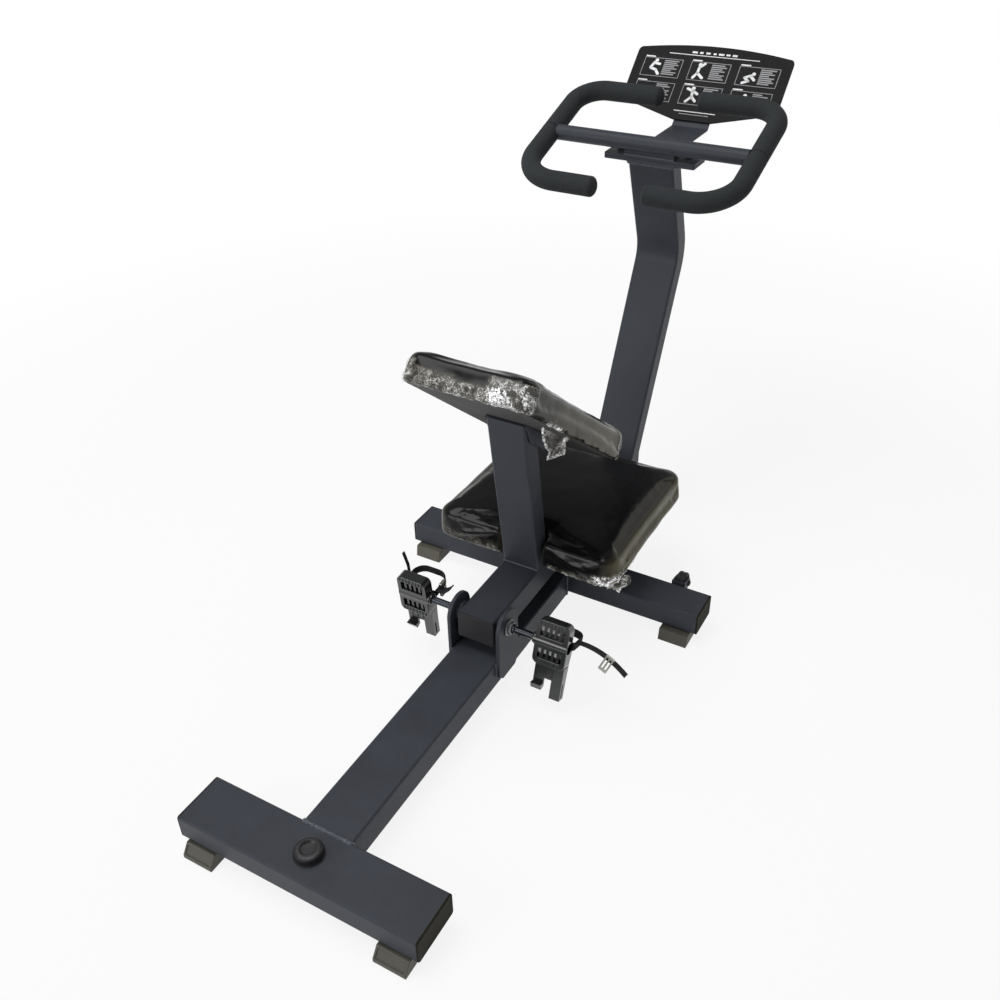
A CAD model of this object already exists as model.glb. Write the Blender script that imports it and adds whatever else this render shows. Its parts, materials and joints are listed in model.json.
"""Finished looks of a leg stretching machine, built round its fixed frame.

Metres, +X to the right, +Y to the front, +Z up, standing on the floor at zero.
"""

import json
import math

import bmesh
import bpy
from mathutils import Matrix, Vector, noise


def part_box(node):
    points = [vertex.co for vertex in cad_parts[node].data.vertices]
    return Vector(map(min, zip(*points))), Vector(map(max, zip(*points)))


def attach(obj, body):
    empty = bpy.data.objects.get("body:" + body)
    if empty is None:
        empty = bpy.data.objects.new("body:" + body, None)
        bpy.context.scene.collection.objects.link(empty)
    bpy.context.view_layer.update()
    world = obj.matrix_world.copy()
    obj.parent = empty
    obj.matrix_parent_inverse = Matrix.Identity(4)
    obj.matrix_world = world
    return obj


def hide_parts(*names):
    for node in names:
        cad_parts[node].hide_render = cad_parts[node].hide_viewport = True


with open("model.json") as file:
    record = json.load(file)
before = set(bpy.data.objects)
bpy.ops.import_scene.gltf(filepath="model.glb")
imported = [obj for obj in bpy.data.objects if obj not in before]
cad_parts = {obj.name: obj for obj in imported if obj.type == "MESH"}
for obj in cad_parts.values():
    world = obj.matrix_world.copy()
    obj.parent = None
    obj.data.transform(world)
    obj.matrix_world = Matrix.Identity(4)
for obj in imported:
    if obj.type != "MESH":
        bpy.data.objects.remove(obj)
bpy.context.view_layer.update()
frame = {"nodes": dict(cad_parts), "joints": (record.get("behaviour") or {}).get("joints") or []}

bl_info = {
    "name": "Leg stretching machine",
    "version": (1, 0, 0),
    "blender": (4, 5, 0),
    "location": "3D View > Sidebar > Stretching",
    "description": "Dresses the fixed frame of a leg stretching machine with its finished pieces",
    "category": "Add Mesh",
}

ALONG_X = Vector((1, 0, 0))
ALONG_Y = Vector((0, 1, 0))
ALONG_Z = Vector((0, 0, 1))
FLAT = (ALONG_X, ALONG_Y, ALONG_Z)
SIDES = (("left", -1), ("right", 1))

# Room between pieces that rest on each other, and the walls of the box tubes
GAP = 0.0003
WALL = 0.003
THIN_WALL = 0.0025
CHANNEL_WALL = 0.004

# Width at the rear and at the front, length and corner radius of each pad, and its height
SEAT_FORM, SEAT_HEIGHT = (0.252, 0.308, 0.453, 0.034), 0.056
SHIN_FORM, SHIN_HEIGHT = (0.414, 0.414, 0.390, 0.038), 0.060
PAD_CROWN = 0.004


def joint_place(name):
    return Vector(next(joint["pos_m"] for joint in frame["joints"] if joint["name"] == name))


# Places that the moving groups are measured from
PIVOT = joint_place("rocker_tilt")
PEDAL_PLACE = {side: joint_place(f"{side}_pedal_turn") for side, sign in SIDES}
WHEEL_PLACE = {side: joint_place(f"{side}_wheel_spin") for side, sign in SIDES}
SEAT_TILT = math.radians(39.4)
POST_LEAN = math.radians(8.4)
MAST_LEAN = math.radians(25.3)
MAST_BACK = math.radians(20.5)
HEAD_HEIGHT = 0.683
BAR_TILT = math.radians(18.6)
PLACARD_TILT = math.radians(43.6)
PEDAL_SWING = {"left": math.radians(6), "right": math.radians(-18)}


def placed(x, y, z, turn=0.0, axis="X"):
    """A place measured from the rocker's pivot, turned about one axis."""
    return Matrix.Translation(PIVOT + Vector((x, y, z))) @ Matrix.Rotation(turn, 4, axis)


SEAT_FRAME = placed(0, -0.016, 0.565, -SEAT_TILT)
UNDER_SEAT = SEAT_FRAME @ Matrix.Translation((0, 0, -SEAT_HEIGHT))
SHIN_FRAME = placed(0, 0.152, 0.032)
BAR_FRAME = placed(0, 0.721, 0.722, BAR_TILT)


# Sizes and colours

def length(name, description, default, least, most):
    return bpy.props.FloatProperty(name=name, description=description, default=default, min=least, max=most,
                                   subtype="DISTANCE", unit="LENGTH")


class MachineSizes(bpy.types.PropertyGroup):
    tube_corner: length("Tube corner", "Outside corner radius of the box tubes", 0.005, 0.001, 0.012)
    weld_bead: length("Weld bead", "Width of one ripple of a weld", 0.0055, 0.002, 0.012)
    weld_step: length("Weld ripple step", "Distance between two ripples of a weld", 0.0024, 0.001, 0.01)
    staple_step: length("Staple step", "Distance between two staples under a pad", 0.026, 0.01, 0.08)
    stitch_step: length("Stitch step", "Distance between two stitches on a strap", 0.0032, 0.002, 0.01)
    grip_radius: length("Grip radius", "Outside radius of the foam sleeves", 0.0205, 0.018, 0.03)
    cloth_voxel: length("Pad mesh size", "Grain of the mesh that the upholstery settles on",
                        0.005, 0.004, 0.01)
    pad_swell: length("Pad swell", "Most that the upholstery may move while it settles", 0.005, 0.0, 0.016)


def colour(name, description, value):
    return bpy.props.FloatVectorProperty(name=name, description=description, default=value,
                                         size=4, min=0, max=1, subtype="COLOR")


class MachineColours(bpy.types.PropertyGroup):
    powder: colour("Powder coat", "Blue-black coat of the frame", (0.041, 0.045, 0.056, 1))
    black_steel: colour("Black steel", "Blackened axle, nuts and bolts", (0.030, 0.031, 0.032, 1))
    worn_steel: colour("Worn steel", "Nuts on the axle's ends", (0.16, 0.165, 0.17, 1))
    dark_steel: colour("Dark steel", "Pedal spindles", (0.035, 0.038, 0.045, 1))
    steel: colour("Bright steel", "Washers, staples and buckles", (0.62, 0.61, 0.56, 1))
    plastic: colour("Moulded plastic", "Pedals and toe clips", (0.009, 0.0098, 0.0102, 1))
    bar_cap: colour("Bar cap plastic", "Caps of the crossbars", (0.019, 0.0178, 0.0120, 1))
    cap: colour("Cap plastic", "Caps of the rocker tube", (0.026, 0.026, 0.028, 1))
    rubber: colour("Rubber", "Wheels and rest bumper", (0.018, 0.018, 0.018, 1))
    plug: colour("Plug rubber", "Round plug on the rear crossbar", (0.016, 0.016, 0.018, 1))
    foot: colour("Foot rubber", "Four feet", (0.080, 0.076, 0.060, 1))
    vinyl: colour("Upholstery", "Glossy cover of the pads", (0.0055, 0.0056, 0.0062, 1))
    board: colour("Board", "Painted board under a pad", (0.011, 0.0105, 0.0098, 1))
    foam: colour("Foam", "Sleeves of the handlebar", (0.024, 0.027, 0.029, 1))
    webbing: colour("Webbing", "Pedal straps", (0.013, 0.013, 0.014, 1))
    placard: colour("Placard", "Panel of the instructions", (0.0065, 0.006, 0.007, 1))
    print_light: colour("Print, light", "Figures and lines on the panel", (0.86, 0.87, 0.88, 1))
    print_dim: colour("Print, dim", "Grey bars on the panel", (0.27, 0.275, 0.28, 1))
    floor: colour("Floor", "Floor and backdrop", (0.92, 0.92, 0.92, 1))


def sizes():
    return bpy.context.scene.stretching_sizes


def colours():
    return bpy.context.scene.stretching_colours


# Shared shader groups

def socket(tree, name, kind, direction, value=None):
    item = tree.interface.new_socket(name=name, in_out=direction, socket_type="NodeSocket" + kind)
    if value is not None:
        item.default_value = value


def feed(tree, value, target):
    """Puts a number, a colour or another node's socket into an input."""
    if hasattr(value, "is_linked"):
        tree.links.new(value, target)
    else:
        target.default_value = value


def feeds(tree, node, **values):
    """Fills a node's inputs by name, with an underscore for each space."""
    for name, value in values.items():
        feed(tree, value, node.inputs[name.replace("_", " ")])


def shader_group(name, numbers, outputs):
    """An empty shader group: its places and numbers in, its numbers out, and its two ends."""
    tree = bpy.data.node_groups.new(name, "ShaderNodeTree")
    socket(tree, "Vector", "Vector", "INPUT")
    for label, value in numbers.items():
        socket(tree, label, "Float", "INPUT", value)
    for label in outputs:
        socket(tree, label, "Float", "OUTPUT")
    return tree, tree.nodes.new("NodeGroupInput").outputs, tree.nodes.new("NodeGroupOutput")


def noise_node(tree, place, scale, detail, rough=0.5, output="Fac"):
    """A noise whose scale is a number or a socket."""
    node = tree.nodes.new("ShaderNodeTexNoise")
    feeds(tree, node, Detail=detail, Roughness=rough, Scale=scale, Vector=place)
    return node.outputs[output]


def maths(tree, operation, first, second=0.5, clamp=False):
    """One sum; first and second are numbers or sockets."""
    node = tree.nodes.new("ShaderNodeMath")
    node.operation, node.use_clamp = operation, clamp
    feed(tree, first, node.inputs[0])
    feed(tree, second, node.inputs[1])
    return node.outputs[0]


def times(tree, first, second):
    return maths(tree, "MULTIPLY", first, second)


def spread(tree, value, low, high, to_low=0.0, to_high=1.0):
    """value from low..high taken to to_low..to_high, held at both ends."""
    node = tree.nodes.new("ShaderNodeMapRange")
    feeds(tree, node, From_Min=low, From_Max=high, To_Min=to_low, To_Max=to_high, Value=value)
    return node.outputs["Result"]


def mixed(tree, share, first, second):
    """A colour between first and second, by share."""
    node = tree.nodes.new("ShaderNodeMix")
    node.data_type = "RGBA"
    for index, value in ((0, share), (6, first), (7, second)):
        feed(tree, value, node.inputs[index])
    return node.outputs[2]


def mapped(tree, place, **values):
    """The place turned or stretched."""
    node = tree.nodes.new("ShaderNodeMapping")
    feeds(tree, node, Vector=place, **values)
    return node.outputs["Vector"]


def grain_group():
    """Fine orange-peel grain, with a slow change of tone over it."""
    tree, given, end = shader_group("Fine grain", {"Size": 900.0, "Patch": 9.0}, ("Height", "Tone"))
    place, size = given["Vector"], given["Size"]
    fine = noise_node(tree, place, size, 3)
    broad = noise_node(tree, place, times(tree, size, 0.31), 2)
    tone = noise_node(tree, place, given["Patch"], 4, 0.6)
    feeds(tree, end, Height=maths(tree, "ADD", fine, times(tree, broad, 0.6)),
          Tone=spread(tree, tone, 0.3, 0.7))
    return tree


def wear_group():
    """Sparse rub marks and settled dust, as two masks."""
    tree, given, end = shader_group("Rubs and dust", {"Rub size": 26.0, "Rub share": 0.3}, ("Rubs", "Dust"))
    place = given["Vector"]
    patches = noise_node(tree, place, given["Rub size"], 5, 0.7)
    limit = maths(tree, "SUBTRACT", 0.78, times(tree, given["Rub share"], 0.2))
    rubbed = spread(tree, patches, limit, maths(tree, "ADD", limit, 0.08))
    streaks = noise_node(tree, mapped(tree, place, Scale=(900, 900, 60)), 1.0, 2)
    specks, area = noise_node(tree, place, 420.0, 2), noise_node(tree, place, 6.0, 3)
    feeds(tree, end, Rubs=times(tree, rubbed, spread(tree, streaks, 0.45, 0.6)),
          Dust=times(tree, spread(tree, specks, 0.62, 0.75), spread(tree, area, 0.45, 0.7)))
    return tree


def crumple_group():
    """Crossing folds of a thin film: a height and a mask of its bright creases."""
    tree, given, end = shader_group("Crumpled film", {"Fold size": 70.0}, ("Height", "Creases"))
    place, fold_size = given["Vector"], given["Fold size"]
    pushed = tree.nodes.new("ShaderNodeVectorMath")
    pushed.operation = "MULTIPLY_ADD"
    for index, value in enumerate((noise_node(tree, place, 60, 2, output="Color"), (0.02, 0.02, 0.02),
                                   place)):
        feed(tree, value, pushed.inputs[index])
    bent = pushed.outputs[0]
    masks = []
    for factor, width in ((1.0, 0.042), (2.8, 0.085)):
        wave = noise_node(tree, bent, times(tree, fold_size, factor), 2, 0.45)
        ridge = maths(tree, "ABSOLUTE", maths(tree, "SUBTRACT", wave, 0.5))
        masks.append(spread(tree, ridge, 0.0, width, 1.0, 0.0))
    both = maths(tree, "MAXIMUM", masks[0], times(tree, masks[1], 0.8))
    fold = noise_node(tree, bent, fold_size, 4, 0.65)
    gate = noise_node(tree, place, 70.0, 3, 0.6)
    glints = spread(tree, noise_node(tree, bent, 210.0, 2), 0.60, 0.66)
    lines = times(tree, both, spread(tree, gate, 0.40, 0.54))
    patches = times(tree, glints, spread(tree, gate, 0.52, 0.62))
    shine = spread(tree, noise_node(tree, place, 38.0, 2), 0.40, 0.60, 0.40, 1.0)
    feeds(tree, end, Height=maths(tree, "ADD", fold, times(tree, both, 0.5)),
          Creases=times(tree, maths(tree, "MAXIMUM", lines, patches), shine))
    return tree


def weave_group():
    """Twill rows of a woven strap, as a height and a thread mask."""
    tree, given, end = shader_group("Woven strap", {"Threads": 800.0}, ("Height", "Thread"))
    waves = []
    for turn in (0.7, -0.7):
        wave = tree.nodes.new("ShaderNodeTexWave")
        feeds(tree, wave, Distortion=0.6, Detail=1.0, Scale=given["Threads"],
              Vector=mapped(tree, given["Vector"], Rotation=(turn, turn, turn)))
        waves.append(wave.outputs["Fac"])
    both = times(tree, *waves)
    feeds(tree, end, Height=both, Thread=spread(tree, both, 0.2, 0.6))
    return tree


GROUPS = {}
FINISHES = {}
DUST = (0.30, 0.30, 0.29, 1)
HAZE = (0.40, 0.355, 0.16, 1)


def group_node(tree, name, **values):
    """One of the shared groups, placed in a material with its own values."""
    node = tree.nodes.new("ShaderNodeGroup")
    node.node_tree = GROUPS[name]
    feeds(tree, node, **values)
    return node.outputs


def lighter(rgba, factor):
    return (*(min(1.0, channel * factor) for channel in rgba[:3]), 1)


def bumped(tree, height, strength, distance):
    node = tree.nodes.new("ShaderNodeBump")
    feeds(tree, node, Strength=strength, Distance=distance, Height=height)
    return node.outputs["Normal"]


def marked(tree, name):
    """A mask that a piece's mesh carries on its points."""
    reader = tree.nodes.new("ShaderNodeAttribute")
    reader.attribute_name = name
    return reader.outputs["Fac"]


def new_material(name):
    """A new finish: its node tree, its shader and the place that it is read at."""
    FINISHES[name] = bpy.data.materials.new(name)
    FINISHES[name].use_nodes = True
    tree = FINISHES[name].node_tree
    return tree, tree.nodes["Principled BSDF"], tree.nodes.new("ShaderNodeTexCoord").outputs["Object"]


def finish(name, base, rough, metal=0.0, grain=900.0, bump=0.08, depth=0.0002, tone=1.5, rubs=0.25,
           rub_tone=3.0, dust=0.25, coat=0.0, specular=0.5, patch=9.0):
    """A material with grain, slow tone changes, rub marks and dust over one base colour."""
    tree, shader, place = new_material(name)
    base = tuple(base)
    FINISHES[name].diffuse_color = base
    fine = group_node(tree, "grain", Size=grain, Patch=patch, Vector=place)
    wear = group_node(tree, "wear", Rub_share=rubs, Vector=place)
    tint = mixed(tree, fine["Tone"], base, lighter(base, tone))
    rubbed = mixed(tree, wear["Rubs"], tint, lighter(base, rub_tone))
    dusted = mixed(tree, times(tree, wear["Dust"], dust), rubbed, DUST)
    worn = maths(tree, "ADD", spread(tree, fine["Tone"], 0, 1, rough * 0.88, rough * 1.12),
                 times(tree, wear["Rubs"], 0.12), clamp=True)
    feeds(tree, shader, Base_Color=dusted, Roughness=worn, Normal=bumped(tree, fine["Height"], bump, depth),
          Metallic=metal, Specular_IOR_Level=specular)
    if coat:
        feeds(tree, shader, Coat_Weight=coat, Coat_Roughness=0.12)
    return tree, shader, place, dusted


def cover_finish(name, base):
    """Glossy upholstery, dulled where smooth packing film lies on it."""
    tree, shader, place, bare = finish(name, base, 0.22, grain=950, bump=0.03, tone=1.3, rubs=0.1,
                                       rub_tone=1.6, dust=0.10, coat=0.10, specular=0.14, patch=5.0)
    patchy = spread(tree, noise_node(tree, place, 14.0, 3), 0.3, 0.7, 0.22, 0.33)
    feeds(tree, shader, Base_Color=mixed(tree, times(tree, marked(tree, "Haze"), patchy), bare, HAZE))


def film_finish(name):
    """Clear packing film: bright creases where it is bunched."""
    tree, shader, place = new_material(name)
    folds = group_node(tree, "crumple", Fold_size=75.0, Vector=place)
    bunch = marked(tree, "Bunch")
    creases = times(tree, folds["Creases"], bunch)
    pale = maths(tree, "ADD", creases, times(tree, bunch, 0.5), clamp=True)
    seen = maths(tree, "ADD", times(tree, bunch, 0.08), times(tree, creases, 0.95), clamp=True)
    feeds(tree, shader, Base_Color=mixed(tree, pale, (0.40, 0.36, 0.22, 1), (0.95, 0.95, 0.96, 1)),
          Alpha=seen, Emission_Color=mixed(tree, creases, (0, 0, 0, 1), (0.85, 0.85, 0.87, 1)),
          Emission_Strength=1.0, Normal=bumped(tree, times(tree, folds["Height"], bunch), 0.8, 0.002),
          Roughness=0.14, Specular_IOR_Level=0.28)


def webbing_finish(name, base):
    """Woven strap: rows of thread over the shared tone changes."""
    tree, shader, place, plain = finish(name, base, 0.8, tone=1.4, rubs=0.2, dust=0.35, specular=0.3)
    rows = group_node(tree, "weave", Threads=210.0, Vector=place)
    thread = mixed(tree, times(tree, rows["Thread"], 0.45), plain, lighter(base, 3.2))
    feeds(tree, shader, Base_Color=thread)
    feeds(tree, tree.nodes["Bump"], Strength=0.6, Distance=0.0006, Height=rows["Height"])


def build_finishes():
    GROUPS.update(grain=grain_group(), wear=wear_group(), crumple=crumple_group(), weave=weave_group())
    tones = colours()
    finish("Powder coat", tones.powder, 0.45, grain=1100, bump=0.14, depth=0.00025, tone=1.3,
           rubs=0.2, rub_tone=1.6, dust=0.10, specular=0.15)
    finish("Weld under coat", lighter(tones.powder, 1.8), 0.36, grain=1300, bump=0.2, tone=1.4, specular=0.5)
    finish("Black steel", tones.black_steel, 0.34, metal=0.6, grain=700, bump=0.05, tone=1.5,
           rubs=0.4, rub_tone=3)
    finish("Worn steel", tones.worn_steel, 0.38, metal=0.8, grain=700, bump=0.06, tone=1.6,
           rubs=0.5, rub_tone=2)
    finish("Dark steel", tones.dark_steel, 0.3, metal=1.0, grain=500, bump=0.04, tone=1.3,
           rubs=0.4, rub_tone=3)
    finish("Bar cap plastic", tones.bar_cap, 0.6, grain=1500, bump=0.16, tone=1.35, rubs=0.3,
           rub_tone=1.8, dust=0.1, specular=0.05)
    finish("Cap plastic", tones.cap, 0.42, grain=1500, bump=0.16, tone=1.35, rubs=0.3, rub_tone=1.8,
           dust=0.1, specular=0.14)
    finish("Plug rubber", tones.plug, 0.34, grain=1300, bump=0.2, tone=1.4, rubs=0.4, rub_tone=2.0,
           dust=0.1, specular=0.35)
    finish("Bright steel", tones.steel, 0.18, metal=1.0, grain=500, bump=0.03, tone=0.85,
           rubs=0.3, rub_tone=0.6)
    finish("Moulded plastic", tones.plastic, 0.20, grain=900, bump=0.3, tone=1.5, rubs=0.5, rub_tone=3,
           dust=0.1, coat=0.5, specular=0.5)
    finish("Rubber", tones.rubber, 0.6, grain=1300, bump=0.3, tone=1.5, rubs=0.4, rub_tone=2.0,
           dust=0.3, specular=0.3)
    finish("Foot rubber", tones.foot, 0.55, grain=1300, bump=0.25, tone=1.35, rubs=0.4, rub_tone=1.5,
           dust=0.3, specular=0.35)
    cover_finish("Upholstery", tones.vinyl)
    finish("Painted board", tones.board, 0.7, grain=300, bump=0.3, tone=1.9, rubs=0.5, rub_tone=2.2)
    finish("Foam sleeve", tones.foam, 0.86, grain=1000, bump=0.55, depth=0.0006, tone=1.35,
           rubs=0.2, rub_tone=1.5, dust=0.15, specular=0.2)
    webbing_finish("Webbing", tones.webbing)
    finish("Thread", lighter(tones.webbing, 5), 0.7, grain=2000, bump=0.2, specular=0.3)
    finish("Placard", tones.placard, 0.38, grain=1600, bump=0.05, tone=1.3, rubs=0.2, rub_tone=1.8, dust=0.05,
           specular=0.08)
    finish("Print light", tones.print_light, 0.45, grain=1500, bump=0.04, tone=0.9,
           rubs=0.3, rub_tone=0.6, dust=0.1)
    finish("Print dim", tones.print_dim, 0.5, grain=1500, bump=0.04, tone=1.3,
           rubs=0.3, rub_tone=0.6, dust=0.1)
    film_finish("Clear film")


# Node trees for rows

def row_tree(name, round_shape):
    """A row of small shapes along a line: beads with a core under them, or flat bars."""
    tree = bpy.data.node_groups.new(name, "GeometryNodeTree")
    tree.is_modifier = True
    socket(tree, "Geometry", "Geometry", "INPUT")
    for label, value in (("Step", 0.0024), ("Length", 0.005), ("Width", 0.005), ("Height", 0.003),
                         ("Jitter", 0.1), ("Core radius", 0.0015)):
        socket(tree, label, "Float", "INPUT", value)
    socket(tree, "Facing", "Vector", "INPUT", (0, 0, 1))
    socket(tree, "Seed", "Int", "INPUT", 3)
    socket(tree, "Finish", "Material", "INPUT")
    socket(tree, "Geometry", "Geometry", "OUTPUT")

    def new(kind, **values):
        node = tree.nodes.new(kind)
        feeds(tree, node, **values)
        return node

    given, end = new("NodeGroupInput").outputs, new("NodeGroupOutput")
    resample = new("GeometryNodeResampleCurve")
    resample.mode = "LENGTH"
    feeds(tree, resample, Curve=new("GeometryNodeMeshToCurve", Mesh=given["Geometry"]).outputs[0],
          Length=given["Step"])
    line = resample.outputs[0]
    if round_shape:
        shape = new("GeometryNodeMeshIcoSphere", Radius=0.5, Subdivisions=2 if round_shape == "fine" else 1)
    else:
        shape = new("GeometryNodeMeshCube")
    along = new("FunctionNodeAlignRotationToVector", Vector=new("GeometryNodeInputTangent").outputs[0])
    facing = new("FunctionNodeAlignRotationToVector", Rotation=along.outputs[0], Vector=given["Facing"])
    along.axis, facing.axis, facing.pivot_axis = "X", "Z", "X"
    vary, scaled = new("FunctionNodeRandomValue", Seed=given["Seed"]), new("ShaderNodeVectorMath")
    feed(tree, maths(tree, "SUBTRACT", 1, given["Jitter"]), vary.inputs[2])
    feed(tree, maths(tree, "ADD", 1, given["Jitter"]), vary.inputs[3])
    scaled.operation = "SCALE"
    size = new("ShaderNodeCombineXYZ", X=given["Length"], Y=given["Width"], Z=given["Height"])
    feed(tree, size.outputs[0], scaled.inputs[0])
    feed(tree, vary.outputs[1], scaled.inputs["Scale"])
    shapes = new("GeometryNodeInstanceOnPoints", Points=line, Instance=shape.outputs[0],
                 Rotation=facing.outputs[0], Scale=scaled.outputs[0])
    result = new("GeometryNodeRealizeInstances", Geometry=shapes.outputs[0]).outputs[0]
    if round_shape:
        ring = new("GeometryNodeCurvePrimitiveCircle", Resolution=8, Radius=given["Core radius"])
        core = new("GeometryNodeCurveToMesh", Curve=line, Profile_Curve=ring.outputs[0], Fill_Caps=True)
        both = new("GeometryNodeJoinGeometry")
        for part in (core.outputs[0], result):
            feed(tree, part, both.inputs[0])
        result = both.outputs[0]
    smooth = new("GeometryNodeSetShadeSmooth", Geometry=result, Shade_Smooth=bool(round_shape))
    paint = new("GeometryNodeSetMaterial", Geometry=smooth.outputs[0], Material=given["Finish"])
    feed(tree, paint.outputs[0], end.inputs[0])
    return tree


ROWS = {}


def row(name, lines, kind, body, slot, material, **values):
    """A row grown by a node tree along lines of points, kept as one plain mesh on one body."""
    spots, edges = [], []
    for points, closed in lines:
        first = len(spots)
        spots.extend(tuple(spot) for spot in points)
        edges.extend((first + step, first + step + 1) for step in range(len(points) - 1))
        if closed:
            edges.append((len(spots) - 1, first))
    if kind not in ROWS:
        ROWS[kind] = row_tree(f"Row of {kind}s", {"bead": "plain", "bar": "", "stud": "fine"}[kind])
    tree = ROWS[kind]
    mesh = bpy.data.meshes.new(name)
    mesh.from_pydata(spots, edges, [])
    line = new_object(name, mesh)
    modifier = line.modifiers.new("Row", "NODES")
    modifier.node_group = tree
    values["Finish"] = FINISHES[material]
    for item in tree.interface.items_tree:
        if item.item_type == "SOCKET" and item.in_out == "INPUT" and item.name.replace(" ", "_") in values:
            modifier[item.identifier] = values[item.name.replace(" ", "_")]
    bake_modifiers(line)
    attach(line, body)


# Mesh helpers

def new_object(name, data):
    made = bpy.data.objects.new(name, data)
    bpy.context.scene.collection.objects.link(made)
    return made


def kept(own, name):
    """An object made of a gathered mesh, its normals turned outward."""
    bmesh.ops.recalc_face_normals(own, faces=own.faces[:])
    mesh = bpy.data.meshes.new(name)
    own.to_mesh(mesh)
    own.free()
    return new_object(name, mesh)


def bake_modifiers(target):
    """The object's mesh as its modifiers leave it, with none left on it."""
    graph = bpy.context.evaluated_depsgraph_get()
    result = bpy.data.meshes.new_from_object(target.evaluated_get(graph), depsgraph=graph)
    target.modifiers.clear()
    old = target.data
    target.data = result
    bpy.data.meshes.remove(old)


def span(node):
    """Middle and size of a frame node."""
    low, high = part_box(node)
    return (low + high) / 2, high - low


def rectangle(x, y, half_wide, half_tall):
    return [(x + a * half_wide, y + b * half_tall) for a, b in ((-1, -1), (1, -1), (1, 1), (-1, 1))]


def mirrored(profile):
    """Half a profile of (radius, distance), and its mirror image."""
    return profile + [(radius, -along) for radius, along in reversed(profile)]


def rounded_ring(width, height, radius, steps=6):
    """Points of a rounded rectangle, anticlockwise from its lower right corner."""
    ring = []
    for turn, (x, y) in enumerate(((1, -1), (1, 1), (-1, 1), (-1, -1))):
        middle = (x * (width / 2 - radius), y * (height / 2 - radius))
        for step in range(steps + 1):
            angle = math.pi / 2 * (turn - 1 + step / steps)
            ring.append((middle[0] + radius * math.cos(angle), middle[1] + radius * math.sin(angle)))
    return ring


def circle(radius, steps=48, centre=(0, 0)):
    return [(centre[0] + radius * math.cos(2 * math.pi * step / steps),
             centre[1] + radius * math.sin(2 * math.pi * step / steps)) for step in range(steps)]


def corner_arc(here, back, ahead, radius, steps):
    """An arc round the corner at here, and how far from it the arc starts."""
    half = math.acos(max(-1, min(1, back.dot(ahead)))) / 2
    reach = radius / math.tan(half)
    centre = here + (back + ahead).normalized() * (radius / math.sin(half))
    start = here + back * reach - centre
    turn = math.pi - 2 * half
    if ahead.x * back.y - ahead.y * back.x < 0:
        turn = -turn
    spots = []
    for step in range(steps + 1):
        angle = turn * step / steps
        spots.append(centre + Vector((start.x * math.cos(angle) - start.y * math.sin(angle),
                                      start.x * math.sin(angle) + start.y * math.cos(angle))))
    return spots, reach


def rounded_path(corners, radius, steps=20):
    """Flat path of straight runs, with an arc at its one inner corner."""
    first, here, last = (Vector(corner) for corner in corners)
    spots, _ = corner_arc(here, (first - here).normalized(), (last - here).normalized(), radius, steps)
    return [first, *spots, last]


def stations(path, ring, across, scales=None, start=None, end=None):
    """The rings of a section carried along a flat path with mitred corners."""
    rings = []
    for index, spot in enumerate(path):
        before = (spot - path[index - 1]).normalized() if index else None
        after = (path[index + 1] - spot).normalized() if index < len(path) - 1 else None
        heading = after if before is None else before
        side = heading.cross(across).normalized()
        plane = (heading + (heading if after is None else after)).normalized()
        if before is None and start is not None:
            plane = start
        if after is None and end is not None:
            plane = end
        scale = scales[index] if scales else 1
        places = []
        for x, y in ring:
            offset = across * (x * scale) + side * (y * scale)
            places.append(spot + offset - heading * (offset.dot(plane) / heading.dot(plane)))
        rings.append(places)
    return rings


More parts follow.
